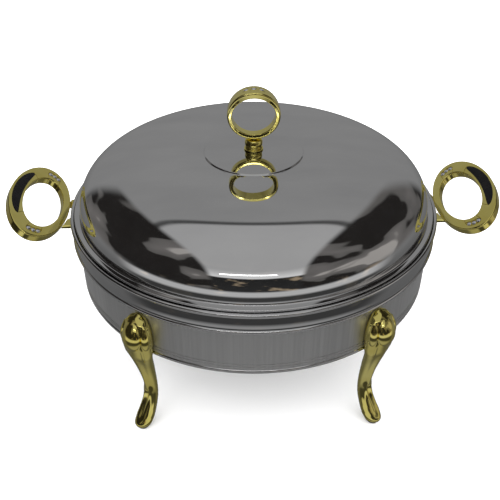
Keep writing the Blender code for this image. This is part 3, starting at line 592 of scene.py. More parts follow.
def middle(name):
    low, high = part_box(name)
    return (low + high) / 2


# Lid ----------------------------------


def crown_height(radius):
    across = (radius / LID_DOME_R) ** LID_ACROSS_POWER
    return LID_DOME_Z + LID_CROWN_H * (1 - across) ** (1 / LID_UP_POWER)


def lid_disc_line(top):
    """Crowned disc and the step from its edge down to the dome."""
    line = []
    reach = LID_DISC_R - LID_DISC_MARGIN - LID_HOLE_R
    for i in range(DISC_POINTS + 1):
        radius = LID_HOLE_R + reach * i / DISC_POINTS
        line.append((radius, top - LID_DISC_CROWN * (radius / LID_DISC_R) ** 2, 0))
    line.append((LID_DISC_R - LID_STEP_IN, top - LID_DISC_CROWN + LID_STEP_RISE, LID_STEP_ROUND))
    line.append((LID_DISC_R + LID_STEP_OUT, crown_height(LID_DISC_R) - LID_STEP_SINK, LID_STEP_ROUND))
    start = LID_DISC_R + LID_CROWN_START
    return rounded(line + [(start, crown_height(start), 0)])[:-1]


def lid_crown_line():
    """The dome from the step to its foot, with its points closer together at the shoulder."""
    points = []
    start = LID_DISC_R + LID_CROWN_START
    for i in range(LID_CROWN_POINTS + 1):
        share = i / LID_CROWN_POINTS
        radius = start + (LID_DOME_R - start) * math.sin(share * math.pi / 2) ** LID_CROWN_CROWDING
        points.append((radius, crown_height(min(radius, LID_DOME_R - HAIR))))
    return points


def make_lid():
    """Raised disc with a step, dome, hollow line at the flange and the flange with its lip."""
    low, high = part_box("lid_dome")
    edge = high.x
    flange = low.z + LID_FLANGE_H
    rim = [(LID_DOME_R, LID_DOME_Z, 0), (LID_DOME_R + LID_HOLLOW_OUT, flange + LID_HOLLOW_H, SOFT_EDGE)]
    rim += [(LID_DOME_R + LID_FLANGE_START, flange, SOFT_EDGE)]
    rim += [(edge, flange - LID_FLANGE_FALL, LID_LIP_ROUND), (edge, low.z + LID_LIP_H, 0)]
    points = lid_disc_line(high.z) + lid_crown_line() + rounded(rim)[1:]
    mesh = turned_mesh("lid_shell", sheet_profile(points, SHEET))
    show("lid_shell", mesh, "lid", "polished_steel", [POLISHED], "lid_dome")


def make_knob_washer():
    low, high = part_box("knob_base")
    edge = high.x
    step = edge - WASHER_STEP_IN
    line = [(KNOB_BORE_R, high.z, 0), (edge - WASHER_TOP_IN, high.z, SOFT_EDGE)]
    line += [(step, high.z - WASHER_STEP_DROP, SMALL_EDGE), (edge, high.z - WASHER_STEP_IN, EDGE)]
    line += [(edge, low.z + SMALL_EDGE, SMALL_EDGE), (KNOB_BORE_R, low.z, 0)]
    mesh = turned_mesh("knob_washer", rounded(line), FINE_STEPS)
    show("knob_washer", mesh, "lid", "gold", [GOLD], "knob_base")


def make_knob_stem():
    """A barrel between a rounded neck and a collar with a groove above it."""
    low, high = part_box("knob_stem")
    radius = high.x
    neck = radius - STEM_NECK_IN
    collar = radius - STEM_COLLAR_IN
    groove_top, groove_foot = low.z + STEM_GROOVE_TOP, low.z + STEM_GROOVE_FOOT
    line = [(KNOB_BORE_R, high.z, 0), (neck, high.z, SOFT_EDGE)]
    line += [(radius - STEM_SHOULDER_IN, high.z - STEM_SHOULDER_H, SOFT_EDGE)]
    line += [(radius, (low.z + high.z) / 2, STEM_BARREL_ROUND), (collar, groove_top + EDGE, TIGHT_EDGE)]
    line += [(neck, groove_top, FINE_EDGE), (neck, groove_foot, FINE_EDGE)]
    line += [(collar, groove_foot - EDGE, SMALL_EDGE), (collar, low.z, FINE_EDGE), (KNOB_BORE_R, low.z, 0)]
    mesh = turned_mesh("knob_barrel", rounded(line), FINE_STEPS)
    show("knob_barrel", mesh, "lid", "gold", [GOLD], "knob_stem")


def knob_section(width, wall):
    """The ring's section, with round shoulders, as distances along Y and outwards."""
    shoulder = wall - KNOB_SHOULDER
    half = width / 2
    section = [(-half, 0, KNOB_EDGE), (half, 0, KNOB_EDGE), (half, shoulder, KNOB_SHOULDER_ROUND)]
    section += [(0, wall, KNOB_TOP_ROUND), (-half, shoulder, KNOB_SHOULDER_ROUND)]
    return rounded(section, True)


def make_knob_ring():
    """A finger ring with round shoulders, wide at its top and narrow at its bottom."""
    low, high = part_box("knob_ring")
    half_x = high.x
    half_z = half_x * KNOB_RING_SHAPE
    centre_z = low.z + half_z
    rings = []
    for i in range(RING_STEPS):
        angle = FULL_TURN * i / RING_STEPS
        across, up = math.cos(angle), math.sin(angle)
        width = (KNOB_WIDTH_TOP + KNOB_WIDTH_BOTTOM) / 2 + (KNOB_WIDTH_TOP - KNOB_WIDTH_BOTTOM) / 2 * up
        inner = Vector((KNOB_HOLE_RX * across, 0, centre_z + KNOB_HOLE_RZ * up - KNOB_HOLE_DROP))
        outer = Vector((half_x * across, 0, centre_z + half_z * up))
        outward = (outer - inner).normalized()
        section = knob_section(width, (outer - inner).length)
        rings.append([inner + outward * out + Vector((0, side, 0)) for side, out in section])
    shape = bmesh.new()
    add_loft(shape, rings, True)
    show("knob_loop", finished_mesh("knob_loop", shape, RING_SHARP), "lid", "gold", [GOLD], "knob_ring")
    make_knob_gems(centre_z, half_z)


def round_point(radius, share, height=0.0):
    """A point at a share of a full turn round the axis."""
    angle = FULL_TURN * share
    return Vector((radius * math.cos(angle), radius * math.sin(angle), height))


def add_facets(shape, place, radius, height):
    """A cut crystal: base, girdle, a zigzag crown and a flat table."""
    made = []
    for size, level, count, shift in CRYSTAL_RINGS:
        ring = [place @ round_point(radius * size, (i + shift) / count, height * level) for i in range(count)]
        made.append([shape.verts.new(point) for point in ring])
    base, girdle, crown, table = made
    bridge(shape, base, girdle, CRYSTAL_INDEX)
    for i in range(len(crown)):
        k = (i + 1) % len(crown)
        first, point, second = girdle[2 * i], girdle[2 * i + 1], girdle[2 * k]
        triangles = [(first, point, crown[i]), (point, second, crown[i]), (crown[i], second, crown[k])]
        triangles += [(crown[i], crown[k], table[k]), (table[i], crown[i], table[k])]
        for corners in triangles:
            shape.faces.new(corners).material_index = CRYSTAL_INDEX
    for ring in (table, base):
        shape.faces.new(ring).material_index = CRYSTAL_INDEX


def add_crystal(shape, place, radius, height):
    """A cut crystal on a dark seat, in a round gold setting with claws."""
    add_facets(shape, place, radius, height)
    seat_r, seat_z = radius * SEAT_SIZE, height * SEAT_LEVEL
    seat = rounded([(0, seat_z, 0), (seat_r, seat_z, SEAT_ROUND), (seat_r, 0, 0), (0, 0, 0)])
    add_turned(shape, seat, SETTING_STEPS, place, SEAT_INDEX)
    setting = arc(radius * SETTING_SIZE, height * SETTING_LEVEL, SETTING_WIRE, 0, 360, SETTING_POINTS)[:-1]
    add_turned(shape, setting, SETTING_STEPS, place)
    for i in range(CLAWS):
        claw = Matrix.Translation(round_point(radius, (i + 0.5) / CLAWS))
        tip = [(claw_r, height * level) for claw_r, level in CLAW_PROFILE]
        add_turned(shape, tip, CLAW_STEPS, place @ claw)


def make_knob_gems(centre_z, half_z):
    """Three crystals in square settings along the top of the ring."""
    shape = bmesh.new()
    size = KNOB_GEM_R + BEZEL_WALL
    corners = [(-size, -size), (size, -size), (size, size), (-size, size)]
    outline = rounded([(x, y, BEZEL_ROUND) for x, y in corners], True)
    for i in range(GEMS):
        lean = Matrix.Rotation((i - 1) * KNOB_GEM_LEAN, 4, "Y")
        top = Matrix.Translation((0, 0, half_z - KNOB_GEM_SINK))
        place = Matrix.Translation((0, 0, centre_z)) @ lean @ top
        rings = [[place @ Vector((x * keep, y * keep, z)) for x, y in outline] for keep, z in BEZEL_LEVELS]
        add_loft(shape, rings, False)
        seat = place @ Matrix.Translation((0, 0, KNOB_GEM_RISE))
        add_crystal(shape, seat, KNOB_GEM_R * KNOB_GEM_FIT, KNOB_GEM_H)
    mesh = finished_mesh("knob_crystals", shape, GEM_SHARP)
    show("knob_crystals", mesh, "lid", "crystal", [GOLD, CRYSTAL, ENAMEL], "knob_gems")


# Pans ---------------------------------


def make_food_pan():
    low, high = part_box("food_pan")
    edge = high.x - FOOD_RIM_IN
    line = [(edge, high.z - FOOD_LIP_H, 0), (edge, high.z, EDGE)]
    line += [(FOOD_WALL_TOP_R + FOOD_RIM_START, high.z, FOOD_RIM_ROUND)]
    line += [(FOOD_WALL_TOP_R - FOOD_NECK_IN, high.z - FOOD_NECK_H, FOOD_NECK_ROUND)]
    line += [(FOOD_WALL_LOW_R, low.z + SHEET, FOOD_CORNER_R), (0, low.z + SHEET, 0)]
    mesh = turned_mesh("food_insert", sheet_profile(rounded(line)[::-1], SHEET))
    show("food_insert", mesh, "food_pan", "polished_steel", [POLISHED], "food_pan")


def water_band_line(upper, lower):
    """The slightly barrelled outer band, from its upper to its lower height."""
    points = []
    for i in range(BARREL_POINTS + 1):
        share = 2 * i / BARREL_POINTS - 1
        radius = WATER_BAND_R + BARREL * (1 - share ** 2) - BAND_EDGE_IN
        points.append((radius, upper + (lower - upper) * i / BARREL_POINTS))
    return points


def make_water_pan():
    """One sheet: floor, inner wall, ledge, rolled rim, outer band and rolled bead."""
    low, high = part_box("water_pan")
    floor = low.z + SHEET
    roll = WATER_RIM_ROLL
    upper, lower = high.z - WATER_RIM_H, BEAD_Z + BEAD_H
    line = [(0, floor, 0), (WATER_WALL_LOW_R, floor, WATER_CORNER_R)]
    line.append((WATER_WALL_TOP_R, WATER_LEDGE_Z, WATER_LEDGE_ROUND))
    line.append((high.x - WATER_LEDGE_IN, WATER_LEDGE_Z, 0))
    points = rounded(line)
    points += arc(high.x - roll, high.z - roll, roll, *WATER_RIM_TURN, ROLL_POINTS)
    points.append((WATER_BAND_R - BAND_NECK_IN, upper + BAND_NECK_H))
    points += water_band_line(upper, lower)
    points += arc(WATER_BAND_R - BEAD_IN, BEAD_Z, BEAD_ROLL, *BEAD_TURN, ROLL_POINTS)
    mesh = turned_mesh("water_vessel", sheet_profile(points, SHEET))
    show("water_vessel", mesh, "water_pan", "polished_steel", [POLISHED], "water_pan")


# Handles ------------------------------


def side_matrix(side):
    return Matrix.Rotation(math.pi if side == "left" else 0, 4, "Z")


def ring_matrix(side):
    place = middle("right_ring")
    return side_matrix(side) @ Matrix.Translation(place) @ Matrix.Rotation(-RING_TILT, 4, "Y")


def pocket_half(angle, start, end, half_width):
    """Half width of a pocket with round ends at an angle in degrees round the ring."""
    share = abs(angle - (start + end) / 2) / ((end - start) / 2)
    return 0.0 if share >= 1 else half_width * math.sqrt(1 - share ** POCKET_END_POWER)


def pocket_width(angle):
    """Half width of whichever pocket the ring's face has there."""
    folded = (angle + 180) % 360 - 180
    enamel = pocket_half(folded, -ENAMEL_END, ENAMEL_END, ENAMEL_HALF_WIDTH)
    gems = pocket_half(abs(folded), GEM_POCKET_START, GEM_POCKET_END, GEM_POCKET_HALF_WIDTH)
    taper = 1 - ENAMEL_TAPER * (1 - math.cos(math.radians(2 * folded)))
    return max(enamel * taper, gems)


def band_point(angle, across, height):
    """A point of the ring at an angle in degrees, measured across its band from the inner edge."""
    turn = math.radians(angle)
    inner = Vector((RING_HOLE_SHIFT + RING_HOLE_OUT * math.cos(turn), RING_HOLE_LONG * math.sin(turn), 0))
    outer = Vector((RING_HALF_OUT * math.cos(turn), RING_HALF_LONG * math.sin(turn), 0))
    return inner + (outer - inner).normalized() * across + Vector((0, 0, height))


def band_width(angle):
    turn = math.radians(angle)
    out = RING_HALF_OUT * math.cos(turn) - RING_HOLE_SHIFT - RING_HOLE_OUT * math.cos(turn)
    return math.hypot(out, (RING_HALF_LONG - RING_HOLE_LONG) * math.sin(turn))


def ring_section(angle):
    """The band's section with its pocket, as distances across the band and heights."""
    width, thick, size = band_width(angle), RING_HALF_THICK, RING_ROUND
    half = pocket_width(angle)
    floor = thick - (POCKET_DEPTH if half > 0 else 0)
    half = max(half, POCKET_LEAST)
    outer, inner = width / 2 + half, width / 2 - half
    section = [(0, -thick, size), (width, -thick, size), (width, thick, size)]
    section += [(outer + POCKET_SLOPE, thick, 0), (outer, floor, 0)]
    section += [(inner, floor, 0), (inner - POCKET_SLOPE, thick, 0), (0, thick, size)]
    return rounded(section, True)


def make_ring(side):
    place = ring_matrix(side)
    count = 2 * RING_STEPS
    rings = []
    for i in range(count):
        angle = 360 * (i + 0.5) / count
        rings.append([place @ band_point(angle, out, z) for out, z in ring_section(angle)])
    shape = bmesh.new()
    add_loft(shape, rings, True)
    mesh = finished_mesh(f"{side}_handle", shape, HANDLE_SHARP)
    show(f"{side}_handle", mesh, "water_pan", "gold", [GOLD], f"{side}_ring")


def inlay_rings(place, start, end, fill, rise):
    """Sections of a filling that lies in a pocket, filled by a share of its depth."""
    floor = RING_HALF_THICK - POCKET_DEPTH
    foot = floor - INLAY_SINK
    rings = []
    for i in range(INLAY_STEPS + 1):
        angle = start + (end - start) * (INLAY_MARGIN + (1 - 2 * INLAY_MARGIN) * i / INLAY_STEPS)
        half = max(pocket_width(angle) - INLAY_GAP, INLAY_LEAST)
        centre = band_width(angle) / 2
        ring = [place @ band_point(angle, centre + half, foot)]
        for j in range(2 * INLAY_POINTS + 1):
            share = 1 - j / INLAY_POINTS
            dome = rise * (1 - share ** 2) * min(half / GEM_POCKET_HALF_WIDTH, 1)
            ring.append(place @ band_point(angle, centre + half * share, floor + POCKET_DEPTH * fill + dome))
        rings.append(ring + [place @ band_point(angle, centre - half, foot)])
    return rings


def make_enamel(side):
    place = ring_matrix(side)
    shape = bmesh.new()
    add_loft(shape, inlay_rings(place, -ENAMEL_END, ENAMEL_END, ENAMEL_FILL, ENAMEL_RISE), False)
    mesh = finished_mesh(f"{side}_inlay", shape, ENAMEL_SHARP)
    show(f"{side}_inlay", mesh, "water_pan", "enamel", [ENAMEL], f"{side}_enamel")


def make_gems(side, sign):
    """Three crystals on the gold floor of the pocket at one end of a handle ring."""
    place = ring_matrix(side)
    name = f"{side}_{'front' if (sign < 0) == (side == 'right') else 'rear'}"
    shape = bmesh.new()
    floor = inlay_rings(place, sign * GEM_POCKET_START, sign * GEM_POCKET_END, GEM_FLOOR_FILL, 0.0)
    add_loft(shape, floor, False)
    level = RING_HALF_THICK - POCKET_DEPTH * GEM_SINK
    for i in range(GEMS):
        share = (i + GEM_FIRST) / (GEMS + GEM_MARGIN)
        angle = sign * (GEM_POCKET_START + (GEM_POCKET_END - GEM_POCKET_START) * share)
        spot = band_point(angle, band_width(angle) / 2, level)
        add_crystal(shape, place @ Matrix.Translation(spot), GEM_R, GEM_H)
    mesh = finished_mesh(f"{name}_crystals", shape, GEM_SHARP)
    show(f"{name}_crystals", mesh, "water_pan", "crystal", [GOLD, CRYSTAL, ENAMEL], f"{name}_gems")


def bracket_blank():
    """Two flat prongs on a base that follows the pan's wall, longer than needed."""
    low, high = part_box("right_bracket")
    wall_r = WATER_BAND_R + BRACKET_WALL_GAP
    half_angle = math.degrees(math.asin(BRACKET_HALF_SPAN / wall_r))
    tip = high.x + BRACKET_SPARE
    inner_y = BRACKET_HALF_SPAN - BRACKET_PRONG
    outline = [(x, y, 0) for x, y in arc(0, 0, wall_r, -half_angle, half_angle, BRACKET_POINTS)]
    outline += [(tip, BRACKET_HALF_SPAN, 0), (tip, inner_y, 0)]
    outline += [(BRACKET_BASE_X, inner_y, BRACKET_CORNER), (BRACKET_BASE_X, -inner_y, BRACKET_CORNER)]
    outline += [(tip, -inner_y, 0), (tip, -BRACKET_HALF_SPAN, 0)]
    points = rounded(outline, True)
    shape = bmesh.new()
    add_loft(shape, [[Vector((x, y, z)) for x, y in points] for z in (low.z, high.z)], False)
    return bpy.data.objects.new("bracket_blank", finished_mesh("bracket_blank", shape))


def bracket_room():
    """The space that the handle ring needs, as a thick oval."""
    half_out, half_long = RING_HALF_OUT + RING_ROOM, RING_HALF_LONG + RING_ROOM
    reach = 3 * RING_HALF_THICK
    place = ring_matrix("right")
    turns = [FULL_TURN * i / ROOM_STEPS for i in range(ROOM_STEPS)]
    oval = [(half_out * math.cos(turn), half_long * math.sin(turn)) for turn in turns]
    rings = [[place @ Vector((x, y, z)) for x, y in oval] for z in (-reach, reach)]
    shape = bmesh.new()
    add_loft(shape, rings, False)
    return bpy.data.objects.new("bracket_room", finished_mesh("bracket_room", shape))


def make_bracket(side):
    """The blank cut back to the ring's edge, with rounded edges."""
    made, around = bracket_blank(), bracket_room()
    for item in (made, around):
        bpy.context.scene.collection.objects.link(item)
    cut = made.modifiers.new("room", "BOOLEAN")
    cut.operation = "DIFFERENCE"
    cut.solver = "EXACT"
    cut.object = around
    edge = made.modifiers.new("edge", "BEVEL")
    edge.width = BRACKET_ROUND
    edge.segments = BRACKET_BEVEL_STEPS
    edge.limit_method = "ANGLE"
    edge.angle_limit = math.radians(BRACKET_SHARP)
    bpy.context.view_layer.update()
    mesh = bpy.data.meshes.new_from_object(made.evaluated_get(bpy.context.evaluated_depsgraph_get()))
    for item in (made, around):
        bpy.data.objects.remove(item)
    mesh.transform(side_matrix(side))
    mesh.shade_smooth()
    mesh.set_sharp_from_angle(angle=math.radians(BRACKET_SHARP))
    show(f"{side}_arm", mesh, "water_pan", "gold", [GOLD], f"{side}_bracket")


# Stand --------------------------------


def make_band():
    """A brushed band with two grooves near its foot."""
    low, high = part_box("stand_band")
    radius = high.x
    inner = radius - BAND_WALL
    line = [(inner, high.z, TIGHT_EDGE), (radius, high.z, TIGHT_EDGE)]
    for rise in BAND_GROOVES:
        height = GROOVE_Z + rise
        line += [(radius - depth, height + level, GROOVE_EDGE) for depth, level in GROOVE_PROFILE]
    line += [(radius, low.z + FINE_EDGE, SMALL_EDGE), (inner, low.z, SMALL_EDGE)]
    mesh = turned_mesh("stand_skirt", rounded(line, True))
    show("stand_skirt", mesh, "stand", "brushed_steel", [BRUSHED], "stand_band")


def make_hoop():
    """A lip inside the band, a roll under it and a shelf turned inwards."""
    low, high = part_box("stand_hoop")
    radius = high.x
    roll = HOOP_ROLL
    lip = radius - BAND_WALL - HOOP_GAP
    inside = lip - HOOP_LIP
    line = [(inside, high.z), (lip, high.z), (lip, low.z + 2 * roll)]
    line += arc(radius - roll, low.z + roll, roll, *HOOP_TURN, HOOP_POINTS)
    shelf = [(radius - roll, low.z, 0), (HOOP_SHELF_R, low.z, HOOP_ROUND)]
    shelf += [(HOOP_SHELF_R, low.z + 2 * roll, HOOP_ROUND), (inside, low.z + 2 * roll, 0)]
    line += rounded(shelf)[1:]
    mesh = turned_mesh("stand_roll", line)
    show("stand_roll", mesh, "stand", "polished_steel", [POLISHED], "stand_hoop")


def smooth_step(low, high, value):
    share = min(max((value - low) / (high - low), 0.0), 1.0)
    return share * share * (3 - 2 * share)


def window(low, high, fade, value):
    return smooth_step(low, low + fade, value) * (1 - smooth_step(high - fade, high, value))


def leg_value(height, column):
    """A smooth curve through the leg's stations."""
    count = len(LEG_STATIONS)
    i = max(k for k in range(count - 1) if LEG_STATIONS[k][0] <= height or k == 0)
    z0, z1 = LEG_STATIONS[i][0], LEG_STATIONS[i + 1][0]
    v0, v1 = LEG_STATIONS[i][column], LEG_STATIONS[i + 1][column]

    def slope(k):
        first, last = LEG_STATIONS[max(k - 1, 0)], LEG_STATIONS[min(k + 1, count - 1)]
        return (last[column] - first[column]) / (last[0] - first[0])

    span = z1 - z0
    t = (height - z0) / span
    bend = v0 * (2 * t ** 3 - 3 * t ** 2 + 1) + v1 * (3 * t ** 2 - 2 * t ** 3)
    return bend + slope(i) * span * (t ** 3 - 2 * t ** 2 + t) + slope(i + 1) * span * (t ** 3 - t ** 2)


def bell(value, centre, width):
    return math.exp(-(((value - centre) / width) ** 2))


def leg_relief(height, turn):
    """Carving on the leg's front in mm: petals and a hood on the knee, then the folds down to the foot."""
    side = abs(math.degrees(turn))
    relief = 0.0
    for centre, half, low, top, depth in PETALS:
        level = (2 * height - low - top) / (top - low)
        share = 1 - ((side - centre) / half) ** 2 - level ** 2
        if share > 0:
            relief += depth * share ** PETAL_POWER
    relief -= PETAL_VALLEY * window(*KNEE, height)
    hood = HOOD_FOOT + HOOD_RISE * max(math.cos(turn), 0) ** HOOD_POWER
    relief += HOOD_DEPTH * bell(height, hood, HOOD_WIDTH)
    for centre, width, depth, low, high, fade in LEG_FOLDS:
        relief += depth * bell(side, centre, width) * window(low, high, fade, height)
    return relief


def leg_section(height, shrink=0.0, lift=0.0):
    """The leg's outline at a height, drawn in towards its middle by a share."""
    back, front, half = (leg_value(height, column) for column in (1, 2, 3))
    waist = back + LEG_WAIST * (front - back)
    flat = LEG_FLAT * half
    points = [(back, flat * share) for share in LEG_BACK_POINTS]
    points.append((back + LEG_BACK_CORNER, flat))
    for i in range(LEG_AROUND + 1):
        turn = math.pi * (0.5 - i / LEG_AROUND)
        out = leg_relief(height, turn) * (1 - shrink)
        points.append((waist + (front - waist + out) * math.cos(turn), (half + out) * math.sin(turn)))
    points += [(x, -y) for x, y in points[2::-1]]
    middle_x = (back + front) / 2
    keep = 1 - shrink
    return [Vector((middle_x + (x - middle_x) * keep, y * keep, height + lift)) * MM for x, y in points]


def leg_mesh(name, direction):
    low, high = LEG_STATIONS[0][0], LEG_STATIONS[-1][0]
    rings = [leg_section(low + rise, shrink, lift) for rise, shrink, lift in LEG_SOLE]
    start = low + LEG_START
    for i in range(LEG_ALONG + 1):
        rings.append(leg_section(start + (high - start) * i / LEG_ALONG))
    rings += [leg_section(high, shrink, lift) for shrink, lift in LEG_TIP]
    shape = bmesh.new()
    add_loft(shape, rings, False)
    bmesh.ops.transform(shape, matrix=Matrix.Rotation(direction, 4, "Z"), verts=shape.verts)
    return finished_mesh(name, shape, LEG_SHARP)


def make_legs():
    front, rear = -math.pi / 2, math.pi / 2
    places = {
        "front_left": front - LEG_ANGLE,
        "front_right": front + LEG_ANGLE,
        "rear_right": rear - LEG_ANGLE,
        "rear_left": rear + LEG_ANGLE,
    }
    for place, direction in places.items():
        mesh = leg_mesh(f"cast_leg_{place}", direction)
        show(f"cast_leg_{place}", mesh, "stand", "gold", [GOLD], f"leg_{place}")
        make_pad(place)


def make_pad(place):
    """A round pad with a shallow hollow underneath."""
    low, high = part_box(f"pad_{place}")
    radius = (high.x - low.x) / 2
    centre = (low + high) / 2
    line = [(0, high.z, 0), (radius - PAD_TOP_IN, high.z, TIGHT_EDGE), (radius, PAD_WIDEST_Z, TIGHT_EDGE)]
    line += [(radius - PAD_SOLE_IN, 0, SMALL_EDGE), (radius - PAD_SOLE, 0, FINE_EDGE)]
    line += [(radius - PAD_HOLLOW, PAD_HOLLOW_H, FINE_EDGE), (0, PAD_HOLLOW_H, 0)]
    spot = Matrix.Translation((centre.x, centre.y, 0))
    mesh = turned_mesh(f"foot_pad_{place}", rounded(line), SMALL_STEPS, spot)
    show(f"foot_pad_{place}", mesh, "stand", "rubber", [RUBBER], f"pad_{place}")


# Burner -------------------------------


def make_holder():
    low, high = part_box("burner_holder")
    line = [(high.x, high.z, 0), (high.x, low.z + HOLDER_FOOT_H, HOLDER_ROUND)]
    line += [(high.x - HOLDER_FOOT_IN, low.z, HOLDER_ROUND), (HOLDER_HOLE_R, low.z, 0)]
    mesh = turned_mesh("holder_cup", sheet_profile(rounded(line), HOLDER_WALL), FINE_STEPS)
    show("holder_cup", mesh, "stand", "plain_steel", [PLAIN], "burner_holder")


def make_can():
    """A tin with a seam at its top and foot, and a floor set up inside its foot."""
    low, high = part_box("fuel_can")
    edge = high.x
    wall = edge - CAN_SEAM
    floor = low.z + CAN_FLOOR_H
    line = [(wall, high.z, 0), (edge, high.z - CAN_SEAM_FALL, FINE_EDGE)]
    line += [(edge, high.z - CAN_SEAM_H, TIGHT_EDGE), (wall, high.z - CAN_NECK_H, CAN_ROUND)]
    line.append((wall, floor, CAN_ROUND))
    line += [(edge, low.z + CAN_FOOT_H, TIGHT_EDGE), (edge, low.z, CAN_FOOT_ROUND)]
    line += [(edge - CAN_FOOT_IN, low.z, SOFT_EDGE), (edge - CAN_FLOOR_IN, floor, SOFT_EDGE), (0, floor, 0)]
    mesh = turned_mesh("can_body", sheet_profile(rounded(line), CAN_WALL), FINE_STEPS)
    show("can_body", mesh, "burner", "tin", [TIN], "fuel_can")


def make_wick_plate():
    """The tin's top, with a neck round the flame opening and a raised rim."""
    low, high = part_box("wick_plate")
    edge, face, rim = high.x, low.z + PLATE_H, low.z + PLATE_RIM_H
    line = [(FLAME_HOLE_R, high.z, SMALL_EDGE), (FLAME_NECK_R, high.z, CAN_ROUND)]
    line += [(FLAME_NECK_R, face, SOFT_EDGE), (edge - PLATE_FACE_IN, face, EDGE)]
    line += [(edge - PLATE_RIM_IN, rim, EDGE), (edge, rim - FINE_EDGE, CAN_ROUND)]
    line += [(edge, low.z, FINE_EDGE), (FLAME_HOLE_R, low.z, 0)]
    mesh = turned_mesh("can_top", rounded(line, True), FINE_STEPS)
    show("can_top", mesh, "burner", "tin", [TIN], "wick_plate")


def finish_carried_nodes():
    """Materials of the CAD nodes that stay as they are."""
    kept = {"plain_steel": PLAIN, "rubber": RUBBER, "tin": TIN}
    for item in frame["record"]["subparts"]:
        made = frame["nodes"][item["node"]]
        if item["material_slot"] in kept:
            made.data.materials.clear()
            made.data.materials.append(kept[item["material_slot"]])


# Stage --------------------------------

FLOOR_SIZE = 8.0
FLOOR_STRETCH = (3, 3, 3)
FLOOR_DARK = (0.955, 0.955, 0.955)
FLOOR_LIGHT = (0.965, 0.965, 0.965)
FLOOR_ROUGHNESS = 0.9
FLOOR_SPECULAR = 0.1
EVEN_STRENGTH = 2.2
# Brightness of the reflected room against the height of the direction: behind, ahead, and how busy it is
REAR_SHADES = [(-1.0, 0.10), (-0.4, 0.16), (0.0, 0.26), (0.35, 0.28), (0.70, 0.29), (0.785, 0.30),
               (0.80, 0.08), (0.815, 0.08), (0.83, 0.42), (1.0, 0.42)]
FRONT_SHADES = [(-1.0, 0.34), (-0.75, 0.30), (-0.66, 0.05), (-0.46, 0.05), (-0.38, 0.55), (-0.22, 0.55),
                (-0.14, 0.03), (0.44, 0.02), (0.48, 0.80), (0.60, 0.60), (0.72, 0.42), (1.0, 0.42)]
CLUTTER_SHARE = [(-1.0, 0.0), (-0.45, 0.1), (-0.1, 1.0), (0.44, 1.0), (0.52, 0.1), (1.0, 0.0)]
CLUTTER_SCALE = 4.5
CLUTTER_DETAIL = 4.0
CLUTTER_SHADES = [(0.55, (0.0, 0.0, 0.0)), (0.66, (0.34, 0.26, 0.17))]
# Where the room changes from ahead to behind, and where its side walls fade in
ROOM_TURN = (-0.35, 0.05)
SIDE_WALLS = (0.40, 0.47)
SIDE_BACK = (0.76, 0.66)
SIDE_LOW = (-0.25, 0.0)
SIDE_SCALE = 1.5
SIDE_DISTORTION = 0.3
SIDE_SHADES = [(0.0, (0.015, 0.014, 0.014)), (0.49, (0.020, 0.018, 0.017)), (0.52, (0.12, 0.115, 0.11)),
               (0.62, (0.17, 0.16, 0.155)), (0.65, (0.40, 0.38, 0.36))]
CAMERA_SENSOR = 36
CAMERA_LENS = 49.6
CAMERA_DISTANCE = 0.700
CAMERA_TARGET_Z = 0.157
CAMERA_RISE = math.radians(35.39)
CAMERA_TURN = math.radians(1.7)
CAMERA_RIGHT = -0.0035
CAMERA_UP = -0.0514
LIGHT_TARGET = (0, 0, 0.15)
# Place, width, height and power of each light, and whether polished parts reflect it
KEY_LIGHT = ((-0.9, -1.3, 2.2), 0.35, 0.35, 2.2, False)
STRIP_LIGHT = ((-0.15, -1.7, 1.35), 1.1, 0.07, 1.0, True)
# Sockets of a mix node for colours
MIX_FIRST = 6
MIX_SECOND = 7
MIX_RESULT = 2


def make_camera():
    level = math.cos(CAMERA_RISE)
    back = Vector((-math.sin(CAMERA_TURN) * level, -math.cos(CAMERA_TURN) * level, math.sin(CAMERA_RISE)))
    right = Vector((math.cos(CAMERA_TURN), -math.sin(CAMERA_TURN), 0))
    up = back.cross(right)
    place = Vector((0, 0, CAMERA_TARGET_Z)) + back * CAMERA_DISTANCE + right * CAMERA_RIGHT + up * CAMERA_UP
    data = bpy.data.cameras.new("camera")
    data.lens = CAMERA_LENS
    data.sensor_width = CAMERA_SENSOR
    made = bpy.data.objects.new("camera", data)
    bpy.context.scene.collection.objects.link(made)
    made.matrix_world = Matrix.Translation(place) @ Matrix((right, up, back)).transposed().to_4x4()
    bpy.context.scene.camera = made


def make_floor():
    shape = bmesh.new()
    bmesh.ops.create_grid(shape, x_segments=2, y_segments=2, size=FLOOR_SIZE / 2)
    made = bpy.data.objects.new("floor", finished_mesh("floor", shape))
    bpy.context.scene.collection.objects.link(made)
    material, shader = clouded("floor", FLOOR_DARK, FLOOR_LIGHT, FLOOR_STRETCH)[:2]
    shader.inputs["Roughness"].default_value = FLOOR_ROUGHNESS
    shader.inputs["Specular IOR Level"].default_value = FLOOR_SPECULAR
    made.data.materials.append(material)
    made.visible_glossy = False


def area_light(name, place, width, height, power, reflected):
    data = bpy.data.lights.new(name, "AREA")
    data.shape = "RECTANGLE"
    data.size = width
    data.size_y = height
    data.energy = power
    made = bpy.data.objects.new(name, data)
    bpy.context.scene.collection.objects.link(made)
    made.location = place
    made.rotation_euler = (Vector(LIGHT_TARGET) - Vector(place)).to_track_quat("-Z", "Y").to_euler()
    made.visible_camera = False
    made.visible_glossy = reflected


def shade_ramp(tree, source, stops):
    """A grey ramp over a direction's height, from -1 straight down to 1 straight up."""
    colours = [((height + 1) / 2, (shade, shade, shade)) for height, shade in stops]
    return colour_ramp(tree, ranged(tree, source, -1.0, 1.0), colours)


